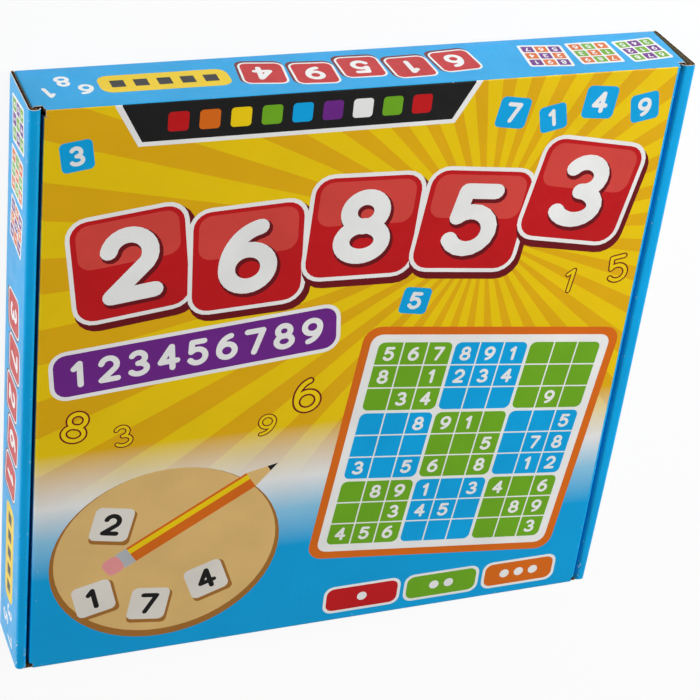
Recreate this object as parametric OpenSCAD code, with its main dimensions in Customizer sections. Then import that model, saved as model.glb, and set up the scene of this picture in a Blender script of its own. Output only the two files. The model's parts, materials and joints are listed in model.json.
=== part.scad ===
// Boxed wooden sudoku set.
// A folded corrugated carton with a hinged tuck lid holds a framed wooden board
// of nine by nine pockets and its eighty-one loose number tiles.
// The carton lies flat: +Z is up through the lid, +Y is the hinge side, and the
// origin is the middle of the underside.

/* [Number tiles] */
// Side of a square tile
tile_side = 26; // [18:0.5:34]
// Thickness of a tile
tile_h = 5; // [3:0.5:8]
// Radius of a tile's upright corners
tile_corner_r = 2; // [0.5:0.5:4]
// Play between a tile and each side of its pocket
tile_play = 0.4; // [0.2:0.1:1]

/* [Wooden board] */
// Thickness of the base panel
base_t = 3; // [2:0.5:6]
// Height of the frame rails and dividers above the base panel
frame_h = 3; // [2:0.5:6]
// Width of the frame rails
rail_w = 11.4; // [6:0.2:20]
// Radius of the board's outer corners
board_corner_r = 5; // [1:0.5:10]
// Thickness of a divider between two pockets
thin_divider = 1.6; // [1:0.2:3]
// Thickness of a divider between two blocks of pockets
block_divider = 3.2; // [1:0.2:6]
// Play of a half-lap slot on each side of the divider that crosses it
lap_play = 0.1; // [0.05:0.05:0.3]

/* [Carton] */
// Outside height with the lid closed
carton_h = 37; // [28:0.5:80]
// Thickness of the corrugated sheet
sheet_t = 1.6; // [1.2:0.1:3]
// Air between two sheets inside a rolled side wall
ply_gap = 0.15; // [0.05:0.05:0.5]
// Radius of the rounded top of a rolled side wall
roll_r = 2.2; // [1.6:0.1:2.5]
// Least flat left along the top of a rolled side wall
roll_flat = 0.4; // [0.2:0.1:1]
// How far the rolled side walls stand below the lid's face
roll_drop = 0.6; // [0:0.1:3]
// How far the rear ends of the side walls stop short of the back wall's face
rear_end_gap = 0.3; // [0:0.1:3]
// Gap between the front wall and the front ends of the side walls
front_end_gap = 2; // [0.1:0.1:4]
// Length of the corner tabs that the rolled side walls hold
tab_l = 45; // [20:1:80]
// Clearance above and below a corner tab
tab_play = 0.5; // [0.2:0.1:2]
// Gap between an inner side wall and the walls at its ends
inner_end_gap = 3; // [0.5:0.5:10]
// How far the front wall stops below the lid's face, so that a finger can lift its edge
front_drop = 4.5; // [2.5:0.5:12]

/* [Lock tabs] */
// Width of a lock tab under an inner side wall
lock_w = 40; // [20:1:70]
// Distance between the two lock tabs of a wall
lock_spacing = 150; // [80:1:180]
// Play of a lock tab in its slot
lock_play = 0.2; // [0.1:0.05:0.5]
// How far a lock tab's end stays above the underside
lock_end_gap = 0.2; // [0.1:0.1:0.8]

/* [Lid and flaps] */
// Gap between a dust flap and the rolled side wall
lid_gap = 1.2; // [0.6:0.1:3]
// Gap between the tuck flap and the front wall
tuck_gap = 1.2; // [1.1:0.1:3]
// Room between the board and a dust flap
side_room = 2.1; // [1:0.1:30]
// Room between the board and the tuck flap
front_room = 5.6; // [1:0.1:40]
// Room between the board and the back wall
rear_room = 8.4; // [3:0.1:40]
// Gap between the back wall's relief notches and the rolled side walls above them
relief_gap = 1.3; // [0.2:0.1:4]
// Running gap of a crease
crease_gap = 0.1; // [0.05:0.05:0.3]
// Height that the hanging flaps keep above the tiles
flap_clear = 3.8; // [2:0.1:10]
// Gap between the dust flaps and the walls and flap at their ends
dust_end_gap = 2; // [1:0.5:6]
// Slope of the dust flaps' ends, in degrees
dust_taper = 20; // [5:1:35]
// Gap between the tuck flap's ends and the creases of the dust flaps
tuck_end_gap = 3.5; // [3:0.5:10]
// Slope of the tuck flap's ends, in degrees
tuck_taper = 12; // [10:1:30]

/* [Hidden] */
$fn = 48;
EPS = 0.01;
CELLS = 9;
BLOCK = 3;

// Colours
print_blue = [0.05, 0.60, 0.86];
print_yellow = [0.95, 0.80, 0.05];
light_wood = [0.86, 0.70, 0.48];
dark_wood = [0.70, 0.50, 0.30];

// The board's plan, from the tiles outwards
pocket = tile_side + 2 * tile_play;
function dividers_before(n) =
    floor(n / BLOCK) * block_divider + (n - floor(n / BLOCK)) * thin_divider;
function divider_t(line) = line % BLOCK == 0 ? block_divider : thin_divider;
grid_span = CELLS * pocket + dividers_before(CELLS - 1);
function cell_at(cell) = -grid_span / 2 + (cell + 0.5) * pocket + dividers_before(cell);
function line_at(line) =
    -grid_span / 2 + line * pocket + dividers_before(line) - divider_t(line) / 2;
board_side = grid_span + 2 * rail_w;

// The carton's plan, from the board outwards
roll_w = 3 * sheet_t + 2 * ply_gap;
carton_w = board_side + 2 * (side_room + sheet_t + lid_gap + roll_w);
carton_d = board_side + front_room + rear_room + 3 * sheet_t + tuck_gap;
board_y = -carton_d / 2 + 2 * sheet_t + tuck_gap + front_room + board_side / 2;

// Heights
base_top = sheet_t + base_t;
tiles_top = base_top + tile_h;
lid_under = carton_h - sheet_t;
bead_r = min(roll_r, (roll_w - roll_flat) / 2);
roll_under = carton_h - roll_drop - bead_r;
back_top = lid_under - crease_gap;
relief_floor = roll_under - relief_gap;
front_top = carton_h - front_drop;
flap_l = lid_under - tiles_top - flap_clear;

// Side walls: the left one, from its outer face inwards
outer_face = -carton_w / 2;
tab_face = outer_face + sheet_t + ply_gap;
inner_wall_x = outer_face + 2 * (sheet_t + ply_gap);
wall_front = -carton_d / 2 + sheet_t + front_end_gap;
wall_rear = carton_d / 2 - rear_end_gap;
inner_front = -carton_d / 2 + sheet_t + inner_end_gap;
inner_rear = carton_d / 2 - sheet_t - inner_end_gap;

// Crease axes
hinge_y = carton_d / 2 - sheet_t / 2;
hinge_z = carton_h - sheet_t / 2;
dust_x = carton_w / 2 - roll_w - lid_gap - sheet_t;
tuck_y = -carton_d / 2 + 2 * sheet_t + tuck_gap;

// A flat piece with four round corners
module rounded_square(side, r) {
    square([side, side - 2 * r], center = true);
    square([side - 2 * r, side], center = true);
    for (x = [-1, 1], y = [-1, 1])
        translate([x * (side / 2 - r), y * (side / 2 - r)]) circle(r);
}

// A sheet's end seen along its crease: sheet_t thick and h high, standing on y = 0,
// with its outer lower corner rounded as a folded sheet is
module creased_end(h) {
    translate([0, sheet_t]) square([sheet_t, h - sheet_t]);
    intersection() {
        translate([sheet_t, sheet_t]) circle(sheet_t);
        square(sheet_t);
    }
}

// Extrudes an outline drawn in x and z along +Y
module along_y(from, to) {
    translate([0, to, 0]) rotate([90, 0, 0]) linear_extrude(to - from) children();
}

// Extrudes an outline drawn in y and z along +X
module along_x(from, to) {
    translate([from, 0, 0]) rotate([90, 0, 90]) linear_extrude(to - from) children();
}

module on_right() {
    mirror([1, 0, 0]) children();
}

// Carton tray

module bottom_panel() {
    inside_w = carton_w - 2 * sheet_t;
    inside_d = carton_d - 2 * sheet_t;
    slot_w = sheet_t + 2 * lock_play;
    slot_l = lock_w + 2 * lock_play;
    color(print_blue) difference() {
        translate([-inside_w / 2, -inside_d / 2, 0]) cube([inside_w, inside_d, sheet_t]);
        for (side = [-1, 1], end = [-1, 1])
            translate([
                side * (inner_wall_x + sheet_t / 2) - slot_w / 2,
                end * lock_spacing / 2 - slot_l / 2,
                -EPS
            ])
                cube([slot_w, slot_l, sheet_t + 2 * EPS]);
    }
}

// A front or back wall with its outer face at y = 0 and its inside towards +Y.
// Its ends are rounded where they fold into the corner tabs.
module end_wall(h) {
    half = -tab_face;
    color(print_blue) intersection() {
        along_x(-half, half) creased_end(h);
        linear_extrude(h) {
            translate([-half + sheet_t, 0]) square([2 * (half - sheet_t), sheet_t]);
            for (x = [-1, 1]) intersection() {
                translate([x * (half - sheet_t), sheet_t]) circle(sheet_t);
                translate([x * (half - sheet_t / 2) - sheet_t / 2, 0]) square(sheet_t);
            }
        }
    }
}

module back_wall() {
    lid_edge = dust_x + sheet_t;
    relief_w = carton_w / 2 - lid_edge;
    color(print_blue) difference() {
        translate([0, carton_d / 2, 0]) rotate(180) end_wall(back_top);
        for (side = [-1, 1])
            translate([side * (lid_edge + relief_w / 2), hinge_y, back_top])
                cube([relief_w, 2 * sheet_t, 2 * (back_top - relief_floor)], center = true);
    }
}

module front_wall() {
    translate([0, -carton_d / 2, 0]) end_wall(front_top);
}

module left_outer_wall() {
    color(print_blue) along_y(wall_front, wall_rear)
        translate([outer_face, 0]) creased_end(roll_under);
}

// The rolled-over top, rounded like a bead
module left_roll_strip() {
    color(print_blue) along_y(wall_front, wall_rear) translate([outer_face, roll_under]) {
        translate([bead_r, 0]) square([roll_w - 2 * bead_r, bead_r]);
        intersection() {
            union() {
                translate([bead_r, 0]) circle(bead_r);
                translate([roll_w - bead_r, 0]) circle(bead_r);
            }
            square([roll_w, bead_r]);
        }
    }
}

module right_outer_wall() {
    on_right() left_outer_wall();
}

module right_roll_strip() {
    on_right() left_roll_strip();
}

// The inner ply, with two lock tabs that pass through the bottom panel
module left_inner_wall() {
    color(print_blue) {
        translate([inner_wall_x, inner_front, sheet_t])
            cube([sheet_t, inner_rear - inner_front, roll_under - sheet_t]);
        for (end = [-1, 1])
            translate([inner_wall_x, end * lock_spacing / 2 - lock_w / 2, lock_end_gap])
                cube([sheet_t, lock_w, sheet_t]);
    }
}

module right_inner_wall() {
    on_right() left_inner_wall();
}

// A tab folded back from an end wall that is wall_top high, and held between the two
// plies of a side wall. side is -1 on the left, and end is -1 at the front.
module corner_tab(side, end, wall_top) {
    under = sheet_t + tab_play;
    top = min(wall_top, roll_under) - tab_play;
    x = -tab_face - sheet_t / 2;
    y = carton_d / 2 - sheet_t - tab_l / 2;
    color(print_blue) translate([side * x - sheet_t / 2, end * y - tab_l / 2, under])
        cube([sheet_t, tab_l, top - under]);
}

module back_left_corner_tab() {
    corner_tab(-1, 1, relief_floor);
}

module back_right_corner_tab() {
    corner_tab(1, 1, relief_floor);
}

module front_left_corner_tab() {
    corner_tab(-1, -1, front_top);
}

module front_right_corner_tab() {
    corner_tab(1, -1, front_top);
}

// Lid and flaps

module lid_panel() {
    half_w = dust_x - crease_gap;
    front = tuck_y + crease_gap;
    color(print_yellow) {
        translate([-half_w, front, lid_under])
            cube([2 * half_w, hinge_y - front, sheet_t]);
        translate([-half_w, hinge_y, hinge_z])
            rotate([0, 90, 0]) cylinder(d = sheet_t, h = 2 * half_w);
    }
}

// A flap that hangs from the origin, seen along its crease: the sheet lies towards -x
// and its crease is rounded over the top
module flap_end() {
    translate([-sheet_t, -flap_l]) square([sheet_t, flap_l]);
    intersection() {
        circle(sheet_t);
        translate([-sheet_t, 0]) square(sheet_t);
    }
}

// The tuck flap is as wide as the lid at its crease. It steps in below the crease, to clear
// the dust flaps when it folds, and narrows towards its free edge.
module tuck_flap() {
    crease = dust_x - crease_gap;
    step = lid_under - dust_end_gap / 2;
    root = dust_x - tuck_end_gap;
    tip = root - flap_l * tan(tuck_taper);
    color(print_blue) intersection() {
        along_x(-crease, crease) translate([tuck_y, lid_under]) flap_end();
        along_y(tuck_y - 2 * sheet_t, tuck_y + sheet_t)
            polygon([
                [-crease, carton_h + EPS], [crease, carton_h + EPS], [crease, step], [root, step],
                [tip, lid_under - flap_l - EPS], [-tip, lid_under - flap_l - EPS],
                [-root, step], [-crease, step]
            ]);
    }
}

module left_dust_flap() {
    front = tuck_y + dust_end_gap;
    rear = carton_d / 2 - sheet_t - dust_end_gap;
    slope = flap_l * tan(dust_taper);
    color(print_blue) intersection() {
        along_y(front, rear) translate([-dust_x, lid_under]) flap_end();
        along_x(-dust_x - 2 * sheet_t, -dust_x + sheet_t)
            polygon([
                [front, carton_h + EPS], [rear, carton_h + EPS], [rear, lid_under],
                [rear - slope, lid_under - flap_l - EPS],
                [front + slope, lid_under - flap_l - EPS], [front, lid_under]
            ]);
    }
}

module right_dust_flap() {
    on_right() left_dust_flap();
}

// Wooden board

module on_board(z) {
    translate([0, board_y, z]) children();
}

module board_base() {
    color(light_wood) on_board(sheet_t)
        linear_extrude(base_t) rounded_square(board_side, board_corner_r);
}

// One mitred rail of the frame; turn 0 is the front rail
module rail(turn) {
    inner = grid_span / 2;
    outer = board_side / 2;
    color(dark_wood) on_board(base_top) rotate(turn * 90) linear_extrude(frame_h)
        intersection() {
            rounded_square(board_side, board_corner_r);
            polygon([[-outer, -outer], [outer, -outer], [inner, -inner], [-inner, -inner]]);
        }
}

module front_rail() {
    rail(0);
}

module right_rail() {
    rail(1);
}

module back_rail() {
    rail(2);
}

module left_rail() {
    rail(3);
}

// Dividers of one direction, drawn along X, with half-lap slots where the others cross.
// slots_up opens the slots at the top.
module dividers(slots_up) {
    slot_h = frame_h / 2;
    for (line = [1 : CELLS - 1])
        translate([0, line_at(line), 0]) difference() {
            translate([-grid_span / 2, -divider_t(line) / 2, 0])
                cube([grid_span, divider_t(line), frame_h]);
            for (cross = [1 : CELLS - 1]) {
                slot_w = divider_t(cross) + 2 * lap_play;
                translate([
                    line_at(cross) - slot_w / 2,
                    -divider_t(line) / 2 - EPS,
                    slots_up ? frame_h - slot_h : -EPS
                ])
                    cube([slot_w, divider_t(line) + 2 * EPS, slot_h + EPS]);
            }
        }
}

module row_dividers() {
    color(dark_wood) on_board(base_top) dividers(true);
}

module column_dividers() {
    color(dark_wood) on_board(base_top) rotate(90) dividers(false);
}

// The nine tiles of one digit, each in its pocket of a solved grid
module number_tiles(digit) {
    color(light_wood) for (row = [0 : CELLS - 1]) {
        shift = BLOCK * (row % BLOCK) + floor(row / BLOCK);
        column = (digit - 1 - shift + 2 * CELLS) % CELLS;
        on_board(base_top) translate([cell_at(column), -cell_at(row), 0])
            linear_extrude(tile_h) rounded_square(tile_side, tile_corner_r);
    }
}

bottom_panel();
back_wall();
front_wall();
left_outer_wall();
left_roll_strip();
left_inner_wall();
right_outer_wall();
right_roll_strip();
right_inner_wall();
back_left_corner_tab();
back_right_corner_tab();
front_left_corner_tab();
front_right_corner_tab();
lid_panel();
tuck_flap();
left_dust_flap();
right_dust_flap();
board_base();
front_rail();
back_rail();
left_rail();
right_rail();
row_dividers();
column_dividers();
number_tiles(1);  // number_1_tiles
number_tiles(2);  // number_2_tiles
number_tiles(3);  // number_3_tiles
number_tiles(4);  // number_4_tiles
number_tiles(5);  // number_5_tiles
number_tiles(6);  // number_6_tiles
number_tiles(7);  // number_7_tiles
number_tiles(8);  // number_8_tiles
number_tiles(9);  // number_9_tiles
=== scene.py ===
"""Dresses the boxed wooden sudoku set: a printed corrugated carton, its wooden board and its number tiles.

Flat sizes and places are in millimetres. They become metres when a fold turns them into points.
"""
from __future__ import annotations

import json
import logging
import math
import random
from collections.abc import Callable, Iterable, Sequence
from dataclasses import dataclass, field, replace
from enum import Enum
from itertools import accumulate

import bpy
from mathutils import Color, Matrix, Quaternion, Vector
from mathutils.geometry import delaunay_2d_cdt

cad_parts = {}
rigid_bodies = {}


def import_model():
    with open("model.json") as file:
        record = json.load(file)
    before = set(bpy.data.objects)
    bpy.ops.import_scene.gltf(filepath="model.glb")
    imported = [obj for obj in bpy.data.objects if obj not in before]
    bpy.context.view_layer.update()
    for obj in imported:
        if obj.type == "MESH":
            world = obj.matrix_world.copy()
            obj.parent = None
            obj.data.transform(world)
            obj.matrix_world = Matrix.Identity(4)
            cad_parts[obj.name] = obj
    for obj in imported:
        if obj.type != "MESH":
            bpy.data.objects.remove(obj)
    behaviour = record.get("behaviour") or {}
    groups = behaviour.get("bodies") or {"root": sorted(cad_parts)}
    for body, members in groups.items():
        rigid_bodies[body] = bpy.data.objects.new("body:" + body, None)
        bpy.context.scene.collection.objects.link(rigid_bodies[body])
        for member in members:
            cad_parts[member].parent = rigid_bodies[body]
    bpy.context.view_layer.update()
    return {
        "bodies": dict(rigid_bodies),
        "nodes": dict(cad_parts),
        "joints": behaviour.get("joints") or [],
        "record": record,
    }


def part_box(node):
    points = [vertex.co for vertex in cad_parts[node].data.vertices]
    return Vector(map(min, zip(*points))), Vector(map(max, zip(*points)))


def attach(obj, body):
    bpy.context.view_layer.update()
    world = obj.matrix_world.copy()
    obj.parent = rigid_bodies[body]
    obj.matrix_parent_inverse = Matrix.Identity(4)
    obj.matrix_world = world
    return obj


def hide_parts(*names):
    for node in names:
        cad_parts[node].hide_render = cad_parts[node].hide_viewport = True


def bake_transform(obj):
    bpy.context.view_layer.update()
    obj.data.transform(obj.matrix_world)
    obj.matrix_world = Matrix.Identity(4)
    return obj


log = logging.getLogger("sudoku_carton")

MM = 0.001
MERGE = 1e-4
TOUCH = 0.05
QUARTER = math.pi / 2
FULL_TURN = 360
BLOCKS = 3
DIGITS = BLOCKS * BLOCKS

Point = tuple[float, float]
Loop = list[Point]
Colour = tuple[float, float, float, float]
Material = bpy.types.Material
Socket = bpy.types.NodeSocket


class Ink(Enum):
    """Printing inks and bare stock, each with its colour as rrggbb."""

    SKY = "00a8e8"
    DEEP_SKY = "0677bd"
    PALE_SKY = "93d0f0"
    SUN = "f5cf02"
    RAY = "eab306"
    YELLOW = "f6d206"
    WHITE = "f4f4f2"
    RED = "c6141a"
    LIGHT_RED = "d8463e"
    MAROON = "6e0f17"
    PURPLE = "70268a"
    GREEN = "70ae1f"
    ORANGE = "de6c14"
    BLACK = "1c1b1b"
    TAN = "e6be78"
    BROWN = "a8702e"
    PINK = "ef9a9a"
    GREY = "b9bcc0"
    PAPER = "e9e4da"


class Ridge(Enum):
    """The axis across which the flutes show through a sheet as faint ridges."""

    ACROSS_X = "X"
    ACROSS_Z = "Z"


class Flutes(Enum):
    """The flat direction that a sheet's flutes run along."""

    ALONG_U = "u"
    ALONG_V = "v"


class Axis(Enum):
    """An axis to measure along, by its place in a point."""

    X = 0
    Y = 1


class Edge(Enum):
    """An edge of the lid, as the direction that it faces."""

    REAR = (0, 1)
    FRONT = (0, -1)
    LEFT = (-1, 0)
    RIGHT = (1, 0)


class Wall(Enum):
    """A choice among the carton's walls."""

    @property
    def word(self) -> str:
        """The wall's name as the CAD nodes write it."""
        return self.name.lower()


class Side(Wall):
    """Left or right of the carton, as the sign of x."""

    LEFT = -1
    RIGHT = 1

    def across(self, low: float, high: float) -> list[float]:
        """Turns two places along Y into places along this side's own sheet, in order."""
        return sorted((self.value * low, self.value * high))


class EndWall(Wall):
    """The back or front wall, as the sign of y that it faces."""

    BACK = 1
    FRONT = -1


class Grain(Enum):
    """The way that the grain of a wooden piece runs, as factors on each axis."""

    ALONG_X = (14.0, 260.0, 260.0)
    ALONG_Y = (260.0, 14.0, 260.0)


def linear(code: str) -> Colour:
    """Turns a colour written as rrggbb into the linear one that the shaders take."""
    levels = Color([level / 255 for level in bytes.fromhex(code)])
    return (*levels.from_srgb_to_scene_linear(), 1.0)


def shade(colour: Colour, factor: float) -> Colour:
    """Makes a linear colour lighter or darker by a factor."""
    return (*(min(1.0, c * factor) for c in colour[:3]), 1.0)


@dataclass(frozen=True)
class Span:
    """A range from low to high, which another value covers as it goes from start to stop."""

    low: float = 0.0
    high: float = 1.0
    start: float = 0.3
    stop: float = 0.7


@dataclass(frozen=True)
class Pattern:
    """A noise pattern: its frequency per metre, its finer layers and the range that it is spread over."""

    scale: float
    detail: float = 2.0
    span: Span = Span()


class Recipe:
    """A node material being put together around one Principled shader."""

    FIRST, SECOND = 6, 7
    MIXED = 2

    def __init__(self, name: str) -> None:
        """Starts an empty material.

        Args:
            name: The material's name.
        """
        self.material = bpy.data.materials.new(name)
        self.material.use_nodes = True
        self.tree = self.material.node_tree
        self.tree.nodes.clear()
        self.shader = self.node("ShaderNodeBsdfPrincipled")
        self.output = self.node("ShaderNodeOutputMaterial")
        self.link(self.shader.outputs["BSDF"], self.output.inputs["Surface"])
        self.place = self.node("ShaderNodeTexCoord").outputs["Object"]

    def node(self, kind: str, source: Socket | None = None, **settings: object) -> bpy.types.Node:
        """Adds a node.

        Args:
            kind: The node's Blender type.
            source: What feeds its first input, if anything does.
            **settings: Attributes to set on it.

        Returns:
            The new node.
        """
        made = self.tree.nodes.new(kind)
        for key, value in settings.items():
            setattr(made, key, value)
        if source:
            self.link(source, made.inputs[0])
        return made

    def link(self, start: Socket, end: Socket) -> None:
        """Joins an output to an input."""
        self.tree.links.new(start, end)

    def shine(self, **values: float) -> None:
        """Sets constants on the shader, with spaces in a socket's name written as underscores."""
        for key, value in values.items():
            self.shader.inputs[key.replace("_", " ").title().replace("Ior", "IOR")].default_value = value

    def vector(self, operation: str, source: Socket, amount: Sequence[float]) -> Socket:
        """Works on coordinates with a fixed vector.

        Args:
            operation: The name of the vector operation.
            source: The coordinates.
            amount: The fixed vector.

        Returns:
            The new coordinates.
        """
        worked = self.node("ShaderNodeVectorMath", source, operation=operation)
        worked.inputs[1].default_value = amount
        return worked.outputs["Vector"]

    def part(self, source: Socket, axis: str) -> Socket:
        """Takes the part of a vector along one axis."""
        return self.node("ShaderNodeSeparateXYZ", source).outputs[axis]

    def noise(self, pattern: Pattern, stretch: Sequence[float] | None = None) -> Socket:
        """Adds a noise pattern.

        Args:
            pattern: Its frequency and detail.
            stretch: Factors on the object's coordinates, if it is stretched.

        Returns:
            The noise value, before it is spread.
        """
        place = self.vector("MULTIPLY", self.place, stretch) if stretch else self.place
        cloud = self.node("ShaderNodeTexNoise", place)
        cloud.inputs["Scale"].default_value = pattern.scale
        cloud.inputs["Detail"].default_value = pattern.detail
        return cloud.outputs["Fac"]

    def spread(self, value: Socket, span: Span) -> Socket:
        """Spreads a value over a range.

        Args:
            value: The value to spread.
            span: The range.

        Returns:
            The spread value, kept inside the range.
        """
        ranged = self.node("ShaderNodeMapRange", value)
        ranged.inputs["From Min"].default_value = span.start
        ranged.inputs["From Max"].default_value = span.stop
        ranged.inputs["To Min"].default_value = span.low
        ranged.inputs["To Max"].default_value = span.high
        return ranged.outputs["Result"]

    def cloud(self, pattern: Pattern) -> Socket:
        """Adds a noise pattern that is spread over its range."""
        return self.spread(self.noise(pattern), pattern.span)

    def ramp(self, value: Socket, stops: Sequence[tuple[float, Ink]]) -> Socket:
        """Turns a value into a colour.

        Args:
            value: The value, from nought to one.
            stops: Places on the ramp with their inks.

        Returns:
            The colour.
        """
        ramp = self.node("ShaderNodeValToRGB", value)
        bar = ramp.color_ramp.elements
        given = len(bar)
        for index, (spot, ink) in enumerate(stops):
            stop = bar[index] if index < given else bar.new(spot)
            stop.position = spot
            stop.color = linear(ink.value)
        return ramp.outputs["Color"]

    def mix(self, factor: Socket, first: Socket | Colour, second: Socket | Colour) -> Socket:
        """Mixes two colours by a varying factor.

        Args:
            factor: How much of the second shows.
            first: The colour or colour socket at nought.
            second: The colour or colour socket at one.

        Returns:
            The mixed colour.
        """
        mixed = self.node("ShaderNodeMix", factor, data_type="RGBA")
        for socket, value in ((mixed.inputs[self.FIRST], first), (mixed.inputs[self.SECOND], second)):
            if isinstance(value, Socket):
                self.link(value, socket)
            else:
                socket.default_value = value
        return mixed.outputs[self.MIXED]

    def mottle(self, pattern: Pattern, base: Colour, shades: Point) -> Socket:
        """Varies a colour by a pattern between two shades of itself, given as factors."""
        first, second = (shade(base, factor) for factor in shades)
        return self.mix(self.cloud(pattern), first, second)

    def bump(self, height: Socket, depth: float, under: Socket | None = None) -> Socket:
        """Raises the surface by a pattern.

        Args:
            height: The pattern.
            depth: The height of the pattern, in millimetres.
            under: A bump that this one lies on.

        Returns:
            The normal.
        """
        raised = self.node("ShaderNodeBump")
        raised.inputs["Distance"].default_value = depth * MM
        self.link(height, raised.inputs["Height"])
        if under:
            self.link(under, raised.inputs["Normal"])
        return raised.outputs["Normal"]

    def dress(self, colour: Socket, roughness: Socket, normal: Socket) -> None:
        """Joins the finished patterns to the shader."""
        for name, socket in (("Base Color", colour), ("Roughness", roughness), ("Normal", normal)):
            self.link(socket, self.shader.inputs[name])


class Finish:
    """A finish that is mixed once, and found again by its name."""

    name: str

    def material(self) -> Material:
        """Makes the finish, or finds it if it was made before.

        Returns:
            The material.
        """
        if self.name not in bpy.data.materials:
            self.mix_into(Recipe(self.name))
        return bpy.data.materials[self.name]

    def mix_into(self, recipe: Recipe) -> None:
        """Puts the finish together.

        Args:
            recipe: The empty material to put it into.
        """
        raise NotImplementedError


@dataclass(frozen=True)
class PrintFinish(Finish):
    """Laminated print on the carton's outer liner, with the flutes showing through as faint ridges."""

    ink: Ink
    ridge: Ridge = Ridge.ACROSS_X
    flute_pitch: float = 3.2
    wave_rate: float = 20.0
    ridge_depth: float = 0.012
    fade: Span = Span(start=-22 * MM, stop=-94 * MM)
    fade_stops: tuple[tuple[float, Ink], ...] = ((0.42, Ink.WHITE), (0.68, Ink.PALE_SKY), (1.0, Ink.SKY))
    cloud: Pattern = Pattern(45.0, 4.0)
    sun_cloud: float = 0.06
    shades: Point = (0.95, 1.06)
    gloss: Pattern = Pattern(160.0, 5.0, Span(0.33, 0.45))
    grain: Pattern = Pattern(1400.0)
    grain_depth: float = 0.004

    @property
    def name(self) -> str:
        """The material's name, one for each ink and way of the ridges."""
        return f"print_{self.ink.name.lower()}_{self.ridge.name.lower()}"

    def ground(self, recipe: Recipe) -> Socket:
        """Fades the lid's yellow through white into blue towards its front edge."""
        down = recipe.spread(recipe.part(recipe.place, "Y"), self.fade)
        return recipe.ramp(down, ((0.0, self.ink), *self.fade_stops))

    def mix_into(self, recipe: Recipe) -> None:
        """Prints the ink over the ridges of the flutes.

        Args:
            recipe: The empty material to put it into.
        """
        base = linear(self.ink.value)
        if self.ink in (Ink.SUN, Ink.RAY):
            faint = replace(self.cloud, span=Span(high=self.sun_cloud))
            colour = recipe.mix(recipe.cloud(faint), self.ground(recipe), shade(base, 0.0))
        else:
            colour = recipe.mottle(self.cloud, base, self.shades)
        ridges = recipe.node("ShaderNodeTexWave", recipe.place, bands_direction=self.ridge.value)
        ridges.inputs["Scale"].default_value = math.tau / (self.wave_rate * self.flute_pitch * MM)
        washboard = recipe.bump(ridges.outputs["Fac"], self.ridge_depth)
        grain = recipe.bump(recipe.noise(self.grain), self.grain_depth, washboard)
        recipe.shine(specular_ior_level=0.32, coat_weight=0.06, coat_roughness=0.25)
        recipe.dress(colour, recipe.cloud(self.gloss), grain)


@dataclass(frozen=True)
class KraftFinish(Finish):
    """Brown recycled liner and fluting paper, flecked with fibres."""

    colour: str = "b08a5e"
    fleck: str = "7d5a38"
    name: str = "kraft_paper"
    pulp: Pattern = Pattern(70.0, 5.0)
    shades: Point = (0.93, 1.05)
    fibre: Pattern = Pattern(1.0, 3.0, Span(0.0, 0.55, 0.58, 0.72))
    fibre_stretch: tuple[float, float, float] = (420.0, 2600.0, 900.0)
    fibre_depth: float = 0.02
    roughness: Pattern = Pattern(500.0, 3.0, Span(0.72, 0.92))

    def mix_into(self, recipe: Recipe) -> None:
        """Lays the flecks over the mottled pulp.

        Args:
            recipe: The empty material to put it into.
        """
        pulp = recipe.mottle(self.pulp, linear(self.colour), self.shades)
        fibre = recipe.noise(self.fibre, self.fibre_stretch)
        colour = recipe.mix(recipe.spread(fibre, self.fibre.span), pulp, linear(self.fleck))
        recipe.shine(specular_ior_level=0.25)
        recipe.dress(colour, recipe.cloud(self.roughness), recipe.bump(fibre, self.fibre_depth))


@dataclass(frozen=True)
class MediumFinish(KraftFinish):
    """The fluting paper between the liners, painted dark brown as shade for the hollows between the flutes.
    """

    # painted shade: this dark brown stands in for the shade inside the flutes
    colour: str = "5a4330"
    fleck: str = "36271a"
    name: str = "fluting_paper"


@dataclass(frozen=True)
class CutEdgeFinish(KraftFinish):
    """The dull cut edge of the liners, painted darker than the kraft as shade for the crevices of the
    board's edge.
    """

    # painted shade: this dark brown stands in for the shade along the board's cut edges
    colour: str = "7d6145"
    fleck: str = "4b3724"
    name: str = "cut_edge"


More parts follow.
